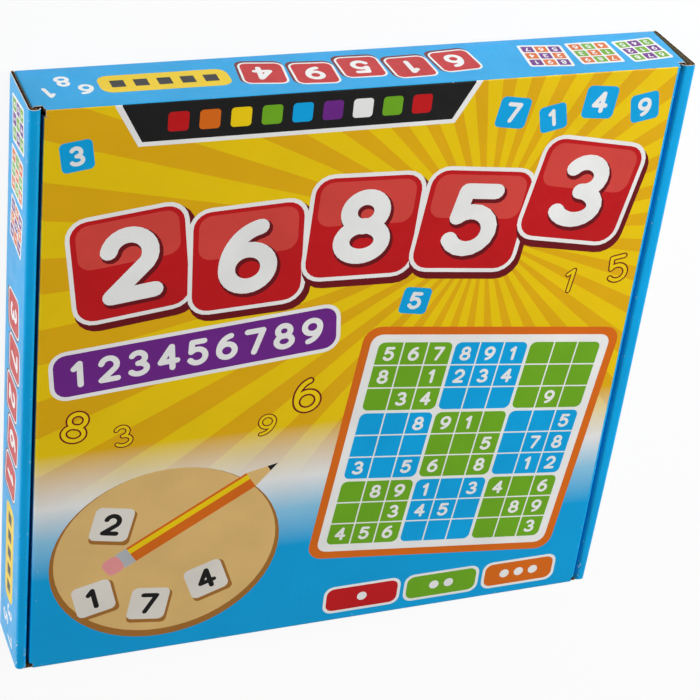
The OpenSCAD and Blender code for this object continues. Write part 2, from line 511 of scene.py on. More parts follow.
@dataclass(frozen=True)
class WoodFinish(Finish):
    """Sanded beech or birch ply, with edges browned by the laser that cut them."""

    name: str
    grain: Grain
    pale: str
    dark: str
    burnt_edges: float = 0.0
    tile_pitch: float = 0.0
    burnt: str = "6b4525"
    burn_start: float = 0.2
    burn_stop: float = 0.9
    tone_share: float = 0.5
    figure: Pattern = Pattern(1.0, 6.0)
    pores: Pattern = Pattern(6.0, 2.0, Span(0.0, 0.5, 0.6, 0.75))
    pore_shade: float = 0.6
    pore_depth: float = 0.03
    roughness: Span = Span(0.45, 0.66)

    def tone(self, recipe: Recipe, wood: Socket) -> Socket:
        """Gives each tile its own tone, so that neighbours differ as cut wood does.

        Args:
            recipe: The material being made.
            wood: The wood's colour so far.

        Returns:
            The toned colour.
        """
        pitch = self.tile_pitch * MM
        moved = recipe.vector("ADD", recipe.place, (pitch / 2, pitch / 2, 0.0))
        snapped = recipe.vector("SNAP", moved, (pitch, pitch, 1.0))
        chance = recipe.node("ShaderNodeTexWhiteNoise", snapped)
        lift = recipe.spread(chance.outputs["Value"], Span(0.0, self.tone_share, 0.0, 1.0))
        return recipe.mix(lift, wood, linear(self.dark))

    def burn(self, recipe: Recipe, wood: Socket) -> Socket:
        """Browns the upright edges.

        Args:
            recipe: The material being made.
            wood: The wood's colour so far.

        Returns:
            The browned colour.
        """
        facing = recipe.part(recipe.node("ShaderNodeNewGeometry").outputs["Normal"], "Z")
        upright = recipe.spread(facing, Span(self.burnt_edges, 0.0, self.burn_start, self.burn_stop))
        return recipe.mix(upright, wood, linear(self.burnt))

    def mix_into(self, recipe: Recipe) -> None:
        """Lays pores, tones and burnt edges over the figure of the wood.

        Args:
            recipe: The empty material to put it into.
        """
        figure = recipe.noise(self.figure, self.grain.value)
        pores = recipe.noise(self.pores, self.grain.value)
        wood = recipe.mix(recipe.spread(figure, self.figure.span), linear(self.pale), linear(self.dark))
        pits = shade(linear(self.dark), self.pore_shade)
        wood = recipe.mix(recipe.spread(pores, self.pores.span), wood, pits)
        if self.tile_pitch:
            wood = self.tone(recipe, wood)
        if self.burnt_edges:
            wood = self.burn(recipe, wood)
        recipe.dress(wood, recipe.spread(figure, self.roughness), recipe.bump(pores, self.pore_depth))


@dataclass(frozen=True)
class TilePaintFinish(Finish):
    """Black screen-printed paint of the digits on the wooden tiles."""

    colour: str = "201d1b"
    name: str = "tile_paint"
    thin: Pattern = Pattern(900.0, 4.0, Span(start=0.45, stop=0.8))
    shades: Point = (1.0, 2.2)
    roughness: Pattern = Pattern(600.0, span=Span(0.42, 0.6))
    grain: Pattern = Pattern(1500.0)
    grain_depth: float = 0.01

    def mix_into(self, recipe: Recipe) -> None:
        """Lets the paint run thin here and there.

        Args:
            recipe: The empty material to put it into.
        """
        colour = recipe.mottle(self.thin, linear(self.colour), self.shades)
        grain = recipe.bump(recipe.noise(self.grain), self.grain_depth)
        recipe.dress(colour, recipe.cloud(self.roughness), grain)


@dataclass(frozen=True)
class FloorFinish(Finish):
    """The studio's plain pale floor, which looks white and still takes the carton's shadow."""

    colour: str = "fafafa"
    name: str = "studio_floor"
    whiteness: float = 0.9
    stain: Pattern = Pattern(3.0)
    shades: Point = (1.0, 0.985)
    roughness: Pattern = Pattern(8.0, span=Span(0.9, 1.0))
    grain: Pattern = Pattern(40.0)
    grain_depth: float = 0.001

    def mix_into(self, recipe: Recipe) -> None:
        """Mixes a plain white glow into the floor for the rays that show it.

        Args:
            recipe: The empty material to put it into.
        """
        colour = recipe.mottle(self.stain, linear(self.colour), self.shades)
        recipe.shine(specular_ior_level=0.0)
        grain = recipe.bump(recipe.noise(self.grain), self.grain_depth)
        recipe.dress(colour, recipe.cloud(self.roughness), grain)
        rays = recipe.node("ShaderNodeLightPath")
        seen = rays.outputs["Is Camera Ray"]
        for kind in ("Is Glossy Ray", "Is Transmission Ray"):
            either = recipe.node("ShaderNodeMath", seen, operation="MAXIMUM")
            recipe.link(rays.outputs[kind], either.inputs[1])
            seen = either.outputs["Value"]
        glow = recipe.node("ShaderNodeEmission")
        share = recipe.spread(seen, Span(0.0, self.whiteness, 0.0, 1.0))
        both = recipe.node("ShaderNodeMixShader", share)
        recipe.link(recipe.shader.outputs["BSDF"], both.inputs[1])
        recipe.link(glow.outputs["Emission"], both.inputs[2])
        recipe.link(both.outputs["Shader"], recipe.output.inputs["Surface"])


def arc(centre: Point, radii: Point, start: float, stop: float, steps: int = 14) -> Loop:
    """Draws part of an ellipse in straight steps, from one angle to another in degrees."""
    turns = [math.radians(start + (stop - start) * i / steps) for i in range(steps + 1)]
    return [(centre[0] + radii[0] * math.cos(a), centre[1] + radii[1] * math.sin(a)) for a in turns]


def band(path: Loop, width: float, cap_steps: int = 6) -> Loop:
    """Gives a path a width and round ends.

    Args:
        path: The middle line, without sharp corners.
        width: The width of the band.
        cap_steps: The straight steps in each round end.

    Returns:
        The band's outline.
    """
    half = width / 2
    ways = zip(path[:1] + path[:-1], path[1:] + path[-1:])
    headings = [math.atan2(after[1] - before[1], after[0] - before[0]) for before, after in ways]
    steps = [(half * math.sin(heading), half * math.cos(heading)) for heading in headings]
    left = [(x - aside, y + ahead) for (x, y), (aside, ahead) in zip(path, steps)]
    right = [(x + aside, y - ahead) for (x, y), (aside, ahead) in zip(path, steps)]
    turns = [math.pi * i / cap_steps for i in range(1, cap_steps)]

    def cap(end: Point, start: float) -> Loop:
        """Rounds off one end of the path."""
        return [(end[0] + half * math.cos(start - a), end[1] + half * math.sin(start - a)) for a in turns]

    far = cap(path[-1], headings[-1] + QUARTER)
    near = cap(path[0], headings[0] - QUARTER)
    return left + far + right[::-1] + near


def rectangle(left: float, low: float, right: float, high: float) -> Loop:
    """Outlines a rectangle, counter-clockwise from its lower left corner."""
    return [(left, low), (right, low), (right, high), (left, high)]


def forward_area(loop: Loop) -> float:
    """Gives a loop's area, positive where it runs counter-clockwise."""
    return sum(a[0] * b[1] - b[0] * a[1] for a, b in zip(loop, loop[1:] + loop[:1])) / 2


def between(start: float, stop: float, steps: int) -> list[float]:
    """Lists the places that share a stretch out evenly, with both its ends."""
    return [start + (stop - start) * index / steps for index in range(steps + 1)]


class Numeral:
    """Plain round-ended digits, drawn as strokes in a cell of height one."""

    WIDTH = 0.52
    HEIGHT = 0.8

    @classmethod
    def ring(cls, centre: Point, radii: Point) -> list[Loop]:
        """Draws an ellipse as its upper and its lower half."""
        return [arc(centre, radii, 0, 180), arc(centre, radii, 180, FULL_TURN)]

    @classmethod
    def strokes(cls, digit: int) -> list[Loop]:
        """Lists the middle lines of a digit's strokes.

        Args:
            digit: The digit, from one to nine.

        Returns:
            The strokes, each without sharp corners.
        """
        width, top = cls.WIDTH, cls.HEIGHT
        middle = width / 2
        bowl = 0.25
        six = [*cls.ring((middle, bowl), (middle, bowl)), arc((0.47, bowl), (0.47, top - bowl), 98, 180)]
        five_bowl = arc((0.24, 0.26), (0.27, 0.26), 136, -150)
        shapes: dict[int, list[Loop]] = {
            1: [[(0.10, 0.62), (0.29, top)], [(0.29, top), (0.29, 0)]],
            2: [arc((middle, 0.55), (bowl, bowl), 165, -38) + [(0, 0)], [(0, 0), (width, 0)]],
            3: [arc((0.24, 0.6), (0.22, 0.2), 150, -90), arc((0.24, 0.2), (0.27, 0.2), 90, -150)],
            4: [[(0.37, top), (0, bowl)], [(0, bowl), (0.54, bowl)], [(0.38, top), (0.38, 0)]],
            5: [[(0.09, top), (0.48, top)], [(0.09, top), (0.05, 0.45)], five_bowl],
            6: six,
            7: [[(0, top), (width, top)], [(width, top), (0.2, 0)]],
            8: cls.ring((middle, 0.6), (0.21, 0.2)) + cls.ring((middle, 0.2), (middle, 0.21)),
            9: [[(width - x, top - y) for x, y in stroke] for stroke in six],
        }
        return shapes[digit]


@dataclass(frozen=True)
class Spot:
    """A place on a flat sheet, with a turn in degrees."""

    u: float
    v: float
    turn: float = 0.0

    def put(self, points: Sequence[Point]) -> Loop:
        """Turns points drawn about the origin and moves them to this place."""
        cos, sin = math.cos(math.radians(self.turn)), math.sin(math.radians(self.turn))
        return [(self.u + x * cos - y * sin, self.v + x * sin + y * cos) for x, y in points]

    def near(self, du: float, dv: float, turn: float = 0.0) -> Spot:
        """Gives the place that lies du, dv from this one in its own turned axes, with more turn."""
        ((u, v),) = self.put([(du, dv)])
        return Spot(u, v, self.turn + turn)

    def row(self, count: int, pitch: float) -> list[Spot]:
        """Lists the places of a row about this one."""
        return [self.near((index - (count - 1) / 2) * pitch, 0) for index in range(count)]


@dataclass(frozen=True)
class Pill:
    """The size of a rectangle with round corners."""

    width: float
    height: float
    radius: float


@dataclass
class Cut:
    """A flat sheet cut into triangles, each with the ink that shows on it."""

    spots: list[Point]
    triangles: list[tuple[int, ...]]
    inks: list[Ink]

    @classmethod
    def of(cls, spots: Sequence[Sequence[float]], shown: Sequence[tuple[Sequence[int], Ink]]) -> Cut:
        """Gathers some triangles with the corners that they use.

        Args:
            spots: The corners, of which some may not be used.
            shown: The triangles by their corners' numbers, each with its ink.

        Returns:
            The cut, with its corners numbered afresh.
        """
        used = sorted({corner for triangle, _ in shown for corner in triangle})
        order = {corner: index for index, corner in enumerate(used)}
        return cls(
            [(spots[corner][0], spots[corner][1]) for corner in used],
            [tuple(order[corner] for corner in triangle) for triangle, _ in shown],
            [ink for _, ink in shown],
        )

    def only(self, ink: Ink) -> Cut:
        """Keeps the triangles of one ink."""
        shown = zip(self.triangles, self.inks)
        return Cut.of(self.spots, [(triangle, top) for triangle, top in shown if top is ink])


@dataclass
class PrintSheet:
    """A flat sheet with layers of print on it. The topmost layer shows."""

    outline: Loop
    ground: Ink
    layers: list[tuple[Loop, Ink]] = field(default_factory=list)
    holes: list[Loop] = field(default_factory=list)
    bends: list[tuple[Point, Point]] = field(default_factory=list)
    tile_round: float = 0.16
    tile_digit: float = 0.66
    corner_steps: int = 5

    def cut(self) -> Cut:
        """Cuts the sheet into triangles along the edges of all its layers.

        Returns:
            The triangles inside the outline and outside the holes, with the ink of the topmost layer.
        """
        loops = [self.outline] + [loop for loop, _ in self.layers] + self.holes
        inks = [self.ground] + [ink for _, ink in self.layers]
        points: list[Vector] = []
        faces: list[list[int]] = []
        for loop in loops:
            start = len(points)
            points.extend(Vector(p) for p in (loop if forward_area(loop) > 0 else loop[::-1]))
            faces.append(list(range(start, len(points))))
        edges: list[tuple[int, int]] = []
        for first, second in self.bends:
            edges.append((len(points), len(points) + 1))
            points.extend((Vector(first), Vector(second)))
        spots, _, triangles, _, _, owners = delaunay_2d_cdt(points, edges, faces, 0, MERGE, True)
        kept = [(t, max(o)) for t, o in zip(triangles, owners) if 0 in o and max(o) < len(inks)]
        return Cut.of(spots, [(t, inks[top]) for t, top in kept])

    def bare(self) -> PrintSheet:
        """Gives the same sheet without its print."""
        return PrintSheet(self.outline, self.ground, holes=self.holes, bends=self.bends)

    def shape(self, points: Sequence[Point], ink: Ink, spot: Spot = Spot(0, 0)) -> None:
        """Prints a shape drawn about the origin at a place."""
        self.layers.append((spot.put(points), ink))

    def pill(self, spot: Spot, size: Pill, ink: Ink, grow: float = 0.0) -> None:
        """Prints a rectangle with round corners.

        Args:
            spot: Its middle.
            size: Its size.
            ink: Its ink.
            grow: How far it stands out past that size all round.
        """
        radius = size.radius + grow
        right, top = (length / 2 + grow - radius for length in (size.width, size.height))
        corners = ((right, top), (-right, top), (-right, -top), (right, -top))
        loop: Loop = []
        for index, corner in enumerate(corners):
            start = index * FULL_TURN / len(corners)
            stop = start + FULL_TURN / len(corners)
            loop += arc(corner, (radius, radius), start, stop, self.corner_steps)
        self.shape(loop, ink, spot)

    def bar(self, spot: Spot, width: float, height: float, ink: Ink) -> None:
        """Prints a rectangle with square corners."""
        self.shape(rectangle(-width / 2, -height / 2, width / 2, height / 2), ink, spot)

    def disc(self, spot: Spot, radii: Point, ink: Ink, steps: int) -> None:
        """Prints an ellipse."""
        self.shape(arc((0, 0), radii, 0, FULL_TURN - FULL_TURN / steps, steps - 1), ink, spot)

    def digit(self, number: int, spot: Spot, height: float, ink: Ink, weight: float = 0.2) -> None:
        """Prints a digit.

        Args:
            number: The digit.
            spot: Its middle.
            height: The height of the cell that it is drawn in.
            ink: Its ink.
            weight: The width of its strokes, as a share of height.
        """
        left, low = Numeral.WIDTH / 2, Numeral.HEIGHT / 2
        for stroke in Numeral.strokes(number):
            middle = [((x - left) * height, (y - low) * height) for x, y in stroke]
            self.shape(band(middle, weight * height), ink, spot)

    def tile(self, number: int, spot: Spot, side: float, face: Ink, mark: Ink) -> None:
        """Prints a round-cornered tile with its digit."""
        self.pill(spot, Pill(side, side, side * self.tile_round), face)
        self.digit(number, spot, side * self.tile_digit, mark)


class Motif:
    """Something that is printed on a sheet."""

    def print_on(self, sheet: PrintSheet) -> None:
        """Prints the motif's layers in order, from the lowest up.

        Args:
            sheet: The sheet to print on.
        """
        raise NotImplementedError


@dataclass(frozen=True)
class Wear(Motif):
    """Small bare flecks along a worn fold. Their shapes are shares of the longest one."""

    count: int
    size: float
    seed: int
    start: Point = (0.0, 0.0)
    stop: Point = (0.0, 0.0)
    shortest: float = 0.25
    widest: float = 0.12
    slimmest: float = 0.4
    ragged_length: Point = (0.6, 1.1)
    ragged_width: Point = (0.4, 1.1)
    stray: float = 0.3
    tilt: float = 6.0
    corners: int = 9

    def along(self, start: Point, stop: Point, later: int = 0) -> Wear:
        """Gives the same wear along a fold, with a seed that is so much later."""
        return replace(self, start=start, stop=stop, seed=self.seed + later)

    def fleck(self, chance: random.Random, length: float, width: float) -> Loop:
        """Draws one ragged fleck about the origin.

        Args:
            chance: Where its raggedness comes from.
            length: Its length.
            width: Half its width.

        Returns:
            Its outline.
        """
        loop: Loop = []
        for index in range(self.corners):
            angle = math.tau * index / self.corners
            u = length / 2 * math.cos(angle) * chance.uniform(*self.ragged_length)
            loop.append((u, width * math.sin(angle) * chance.uniform(*self.ragged_width)))
        return loop

    def print_on(self, sheet: PrintSheet) -> None:
        """Prints the flecks at random places along the fold.

        Args:
            sheet: The sheet to print on.
        """
        chance = random.Random(self.seed)
        run, rise = self.stop[0] - self.start[0], self.stop[1] - self.start[1]
        heading = math.atan2(rise, run)
        for _ in range(self.count):
            along = chance.random()
            length = self.size * chance.uniform(self.shortest, 1.0)
            width = self.widest * self.size * chance.uniform(self.slimmest, 1.0)
            loop = self.fleck(chance, length, width)
            aside = self.stray * self.size * chance.uniform(-1, 1)
            u = self.start[0] + along * run - aside * math.sin(heading)
            v = self.start[1] + along * rise + aside * math.cos(heading)
            turn = math.degrees(heading) + chance.uniform(-self.tilt, self.tilt)
            sheet.shape(loop, Ink.PAPER, Spot(u, v, turn))


@dataclass(frozen=True)
class Puzzle(Motif):
    """A number puzzle printed as a square of blocks and cells.

    Its finer sizes are shares of the larger ones.
    """

    spot: Spot
    side: float
    inks: tuple[Ink, Ink]
    border: Ink
    cells: int = DIGITS
    shown: float = 0.5
    seed: int = 4
    rim: float = 0.032
    border_round: float = 0.06
    field_round: float = 0.04
    fine_gap: float = 0.014
    coarse_gap: float = 0.05
    block_round: float = 0.08
    line: float = 0.06
    digit: float = 0.62
    weight: float = 0.19

    @property
    def gap(self) -> float:
        """The gap between two blocks."""
        return self.span * (self.fine_gap if self.cells > BLOCKS else self.coarse_gap)

    @property
    def span(self) -> float:
        """The side of the square that the blocks fill."""
        return self.side - 4 * (self.side * self.rim)

    @property
    def block(self) -> float:
        """The side of a block."""
        return (self.span - self.gap * (BLOCKS - 1)) / BLOCKS

    @property
    def inside(self) -> int:
        """The number of cells along a block."""
        return self.cells // BLOCKS

    @property
    def cell(self) -> float:
        """The side of a cell."""
        return self.block / self.inside

    def number(self, row: int, column: int) -> int:
        """Gives the digit of a cell in a solved grid."""
        return (BLOCKS * (row % BLOCKS) + row // BLOCKS + column + self.seed) % DIGITS + 1

    def place(self, number: int) -> float:
        """Gives how far a row or column of cells lies from the middle of the puzzle."""
        group, rank = divmod(number, self.inside)
        return (group - BLOCKS // 2) * (self.block + self.gap) + (rank - (self.inside - 1) / 2) * self.cell

    def print_on(self, sheet: PrintSheet) -> None:
        """Prints the border, the blocks, the thin lines between cells and the digits.

        Args:
            sheet: The sheet to print on.
        """
        white = self.side - 2 * (self.side * self.rim)
        sheet.pill(self.spot, Pill(self.side, self.side, self.side * self.border_round), self.border)
        sheet.pill(self.spot, Pill(white, white, self.side * self.field_round), Ink.WHITE)
        block = Pill(self.block, self.block, self.block * self.block_round)
        pitch = self.block + self.gap
        for row in range(BLOCKS):
            for column in range(BLOCKS):
                spot = self.spot.near((column - BLOCKS // 2) * pitch, (BLOCKS // 2 - row) * pitch)
                sheet.pill(spot, block, self.inks[(row + column) % len(self.inks)])
        self.print_lines(sheet)
        chance = random.Random(self.seed)
        for row in range(self.cells):
            for column in range(self.cells):
                spot = self.spot.near(self.place(column), -self.place(row))
                if chance.random() < self.shown:
                    height = self.cell * self.digit
                    sheet.digit(self.number(row, column), spot, height, Ink.WHITE, self.weight)

    def print_lines(self, sheet: PrintSheet) -> None:
        """Prints the thin lines between the cells of the blocks.

        Args:
            sheet: The sheet to print on.
        """
        thin = self.cell * self.line
        long = BLOCKS * self.block + (BLOCKS - 1) * self.gap
        for number in range(self.cells):
            if number % self.inside:
                before = self.place(number) - self.cell / 2
                sheet.bar(self.spot.near(before, 0), thin, long, Ink.WHITE)
                sheet.bar(self.spot.near(0, before), long, thin, Ink.WHITE)


@dataclass(frozen=True)
class RayBurst(Motif):
    """Wedges that spread from a centre."""

    centre: Spot = Spot(60, 72)
    count: int = 36
    reach: float = 420.0
    blunt: float = 4.0
    rim_steps: int = 2

    def print_on(self, sheet: PrintSheet) -> None:
        """Prints the wedges all round the centre, as wide as the gaps between them.

        Args:
            sheet: The sheet to print on.
        """
        half = FULL_TURN / self.count / 4
        wedge = [(self.blunt, 0.0)] + arc((0, 0), (self.reach, self.reach), -half, half, self.rim_steps)
        for index in range(self.count):
            sheet.shape(wedge, Ink.RAY, self.centre.near(0, 0, index * FULL_TURN / self.count))


@dataclass(frozen=True)
class HingeTab(Motif):
    """The black tab at the hinge, with a row of small coloured squares."""

    rear: float
    middle: float = -34.0
    half: float = 78.0
    deep: float = 17.0
    slope: float = 9.0
    overlap: float = 3.0
    rim_side: float = 3.0
    rim_deep: float = 2.0
    rim_slope: float = 1.5
    square: Pill = Pill(9.0, 9.0, 1.6)
    pitch: float = 13.5
    drop: float = 8.5
    inks: tuple[Ink, ...] = (
        Ink.RED, Ink.ORANGE, Ink.YELLOW, Ink.GREEN, Ink.SKY, Ink.PURPLE, Ink.WHITE, Ink.GREEN, Ink.RED
    )

    def outline(self, half: float, deep: float, slope: float) -> Loop:
        """Outlines a tab that narrows downwards by a slope at each side and runs on over the hinge."""
        foot = [(slope - half, -deep), (half - slope, -deep)]
        return [(-half, 0), *foot, (half, 0), (half, self.overlap), (-half, self.overlap)]

    def print_on(self, sheet: PrintSheet) -> None:
        """Prints the white rim, the black tab and the squares.

        Args:
            sheet: The sheet to print on.
        """
        spot = Spot(self.middle, self.rear)
        half, deep = self.half + self.rim_side, self.deep + self.rim_deep
        sheet.shape(self.outline(half, deep, self.slope + self.rim_slope), Ink.WHITE, spot)
        sheet.shape(self.outline(self.half, self.deep, self.slope), Ink.BLACK, spot)
        places = spot.near(0, -self.drop).row(len(self.inks), self.pitch)
        for place, ink in zip(places, self.inks):
            sheet.pill(place, self.square, ink)


@dataclass(frozen=True)
class Token:
    """One number in a loose arrangement: its digit, its place and its size."""

    number: int
    spot: Spot
    size: float


@dataclass(frozen=True)
class ScatteredTiles(Motif):
    """Small blue tiles near the hinge and beside the puzzle."""

    tiles: tuple[Token, ...] = (
        Token(7, Spot(64, 133, -9), 15),
        Token(1, Spot(84, 129, 12), 13),
        Token(4, Spot(106, 135, -6), 16),
        Token(9, Spot(129, 131, 10), 14),
        Token(3, Spot(-130, 128, 8), 14),
        Token(5, Spot(30, 40, -10), 14),
    )

    def print_on(self, sheet: PrintSheet) -> None:
        """Prints each tile."""
        for tile in self.tiles:
            sheet.tile(tile.number, tile.spot, tile.size, Ink.SKY, Ink.WHITE)


@dataclass(frozen=True)
class RedRow(Motif):
    """A row of large red number tiles that rises to the right."""

    numbers: tuple[int, ...] = (2, 6, 8, 5, 3)
    side: float = 50.0
    corner: float = 8.0
    pitch: float = 52.5
    height: float = 74.0
    rise: float = 4.0
    dip: float = 6.0
    first_turn: float = 7.0
    turn_back: float = 4.5
    rim: float = 2.0
    shadow: float = 3.0
    shadow_fall: Point = (1.6, -2.6)
    gleam: Pill = Pill(45.0, 22.0, 6.0)
    gleam_rise: float = 12.0
    digit: float = 0.74
    digit_weight: float = 0.21
    digit_shadow: float = 0.25
    digit_fall: Point = (0.9, -1.3)

    def print_on(self, sheet: PrintSheet) -> None:
        """Prints each tile: shadow, rim, face, gleam and digit.

        Args:
            sheet: The sheet to print on.
        """
        square = Pill(self.side, self.side, self.corner)
        for index, number in enumerate(self.numbers):
            u = (index - len(self.numbers) // 2) * self.pitch
            v = self.height + self.rise * index - self.dip * (index % 2)
            spot = Spot(u, v, self.first_turn - self.turn_back * index)
            sheet.pill(spot.near(*self.shadow_fall), square, Ink.MAROON, self.shadow)
            sheet.pill(spot, square, Ink.WHITE, self.rim)
            sheet.pill(spot, square, Ink.RED)
            sheet.pill(spot.near(0, self.gleam_rise), self.gleam, Ink.LIGHT_RED)
            tall = self.side * self.digit
            sheet.digit(number, spot.near(*self.digit_fall), tall, Ink.MAROON, self.digit_shadow)
            sheet.digit(number, spot, tall, Ink.WHITE, self.digit_weight)


@dataclass(frozen=True)
class NumberBar(Motif):
    """The purple bar with the nine digits."""

    spot: Spot = Spot(-72, 25, 5)
    bar: Pill = Pill(130.0, 22.0, 6.0)
    rim: float = 2.0
    pitch: float = 13.4
    digit: float = 14.0

    def print_on(self, sheet: PrintSheet) -> None:
        """Prints the rim, the bar and the digits in order.

        Args:
            sheet: The sheet to print on.
        """
        sheet.pill(self.spot, self.bar, Ink.WHITE, self.rim)
        sheet.pill(self.spot, self.bar, Ink.PURPLE)
        for index, place in enumerate(self.spot.row(DIGITS, self.pitch)):
            sheet.digit(index + 1, place, self.digit, Ink.WHITE)


@dataclass(frozen=True)
class Pencil(Motif):
    """A pencil, turned to where it points."""

    spot: Spot
    length: float = 66.0
    thick: float = 10.0
    stripe: float = 0.3
    stripe_rise: float = 0.22
    ferrule: float = 6.0
    rubber: Pill = Pill(9.0, 10.0, 3.0)
    rubber_at: float = 10.0
    cone: float = 15.0
    lead: float = 5.0

    def point(self, start: float, width: float) -> Loop:
        """Outlines the pencil's point from a place on its length."""
        half = self.length / 2
        return [(half + start, -width / 2), (half + self.cone, 0), (half + start, width / 2)]

    def print_on(self, sheet: PrintSheet) -> None:
        """Prints the shaft, its light stripe, the ferrule, the rubber and the point.

        Args:
            sheet: The sheet to print on.
        """
        half, thick = self.length / 2, self.thick
        sheet.bar(self.spot, self.length, thick, Ink.ORANGE)
        sheet.bar(self.spot.near(0, thick * self.stripe_rise), self.length, thick * self.stripe, Ink.YELLOW)
        sheet.bar(self.spot.near(-half - self.ferrule / 2, 0), self.ferrule, thick, Ink.GREY)
        sheet.pill(self.spot.near(-half - self.rubber_at, 0), self.rubber, Ink.PINK)
        sheet.shape(self.point(0, thick), Ink.TAN, self.spot)
        lead_at = self.cone - self.lead
        sheet.shape(self.point(lead_at, thick * self.lead / self.cone), Ink.BLACK, self.spot)


@dataclass(frozen=True)
class PencilTable(Motif):
    """A round table with a pencil and wooden number tiles on it."""

    table: Spot = Spot(-80, -86)
    radii: Point = (54.0, 48.0)
    rim: float = 2.0
    steps: int = 56
    tiles: tuple[Token, ...] = (
        Token(1, Spot(-34, -23, 14), 19),
        Token(7, Spot(-7, -31, -9), 19),
        Token(4, Spot(21, -21, 20), 19),
        Token(2, Spot(-27, 20, -12), 19),
    )
    shadow: Pill = Pill(20.0, 20.0, 2.6)
    shadow_fall: Point = (0.9, -1.6)
    pencil: Spot = Spot(11, 18, 32)

    def on_table(self, spot: Spot) -> Spot:
        """Gives the place on the sheet of a place on the table."""
        return self.table.near(spot.u, spot.v, spot.turn)

    def print_on(self, sheet: PrintSheet) -> None:
        """Prints the table, its tiles and the pencil.

        Args:
            sheet: The sheet to print on.
        """
        wide = (self.radii[0] + self.rim, self.radii[1] + self.rim)
        sheet.disc(self.table.near(0, -self.rim), wide, Ink.BROWN, self.steps)
        sheet.disc(self.table, self.radii, Ink.TAN, self.steps)
        for tile in self.tiles:
            spot = self.on_table(tile.spot)
            sheet.pill(spot.near(*self.shadow_fall), self.shadow, Ink.BROWN)
            sheet.tile(tile.number, spot, tile.size, Ink.PAPER, Ink.BLACK)
        Pencil(self.on_table(self.pencil)).print_on(sheet)


@dataclass(frozen=True)
class LooseDigits(Motif):
    """Small outlined digits on the open ground."""

    digits: tuple[Token, ...] = (
        Token(8, Spot(-126, -8, -14), 18),
        Token(3, Spot(-104, -16, 10), 13),
        Token(6, Spot(-18, -6, 12), 20),
        Token(9, Spot(-36, -20, -8), 13),
        Token(5, Spot(132, 46, 10), 16),
        Token(1, Spot(108, 42, -8), 14),
    )
    weight: float = 0.2
    hollow: float = 0.11

    def print_on(self, sheet: PrintSheet) -> None:
        """Prints each digit dark, and then thinner and light.

        Args:
            sheet: The sheet to print on.
        """
        for digit in self.digits:
            sheet.digit(digit.number, digit.spot, digit.size, Ink.MAROON, self.weight)
            sheet.digit(digit.number, digit.spot, digit.size, Ink.YELLOW, self.hollow)


@dataclass(frozen=True)
class FrontTabs(Motif):
    """Three plain tabs along the front edge, with one, two and three dots."""

    front: float
    start: float = 24.0
    pitch: float = 43.0
    rise: float = 12.0
    tab: Pill = Pill(38.0, 14.0, 4.0)
    rim: Pill = Pill(41.0, 17.0, 5.0)
    dot: float = 2.6
    dot_pitch: float = 8.0
    dot_steps: int = 16

    def print_on(self, sheet: PrintSheet) -> None:
        """Prints each tab with its rim and dots.

        Args:
            sheet: The sheet to print on.
        """
        for index, ink in enumerate((Ink.RED, Ink.GREEN, Ink.ORANGE)):
            spot = Spot(self.start + index * self.pitch, self.front + self.rise)
            sheet.pill(spot, self.rim, Ink.WHITE)
            sheet.pill(spot, self.tab, ink)
            for place in spot.row(index + 1, self.dot_pitch):
                sheet.disc(place, (self.dot, self.dot), Ink.WHITE, self.dot_steps)


@dataclass(frozen=True)
class LidDesign(Motif):
    """The lid's print: rays on yellow, a row of red number tiles, a puzzle, a pencil and loose tiles."""

    half_width: float
    front: float
    rear: float
    wrap: float = 8.0
    puzzle: Puzzle = Puzzle(Spot(66, -46, -7), 134, (Ink.GREEN, Ink.SKY), Ink.ORANGE)

    def print_on(self, sheet: PrintSheet) -> None:
        """Prints the layers in order, with the blue that comes round the right crease on the rays.

        Args:
            sheet: The sheet to print on.
        """
        RayBurst().print_on(sheet)
        strip = rectangle(0, self.front - self.wrap, self.wrap, self.rear + self.wrap)
        sheet.shape(strip, Ink.SKY, Spot(self.half_width, 0))
        for motif in (
            HingeTab(self.rear),
            ScatteredTiles(),
            RedRow(),
            NumberBar(),
            PencilTable(),
            self.puzzle,
            LooseDigits(),
            FrontTabs(self.front),
        ):
            motif.print_on(sheet)


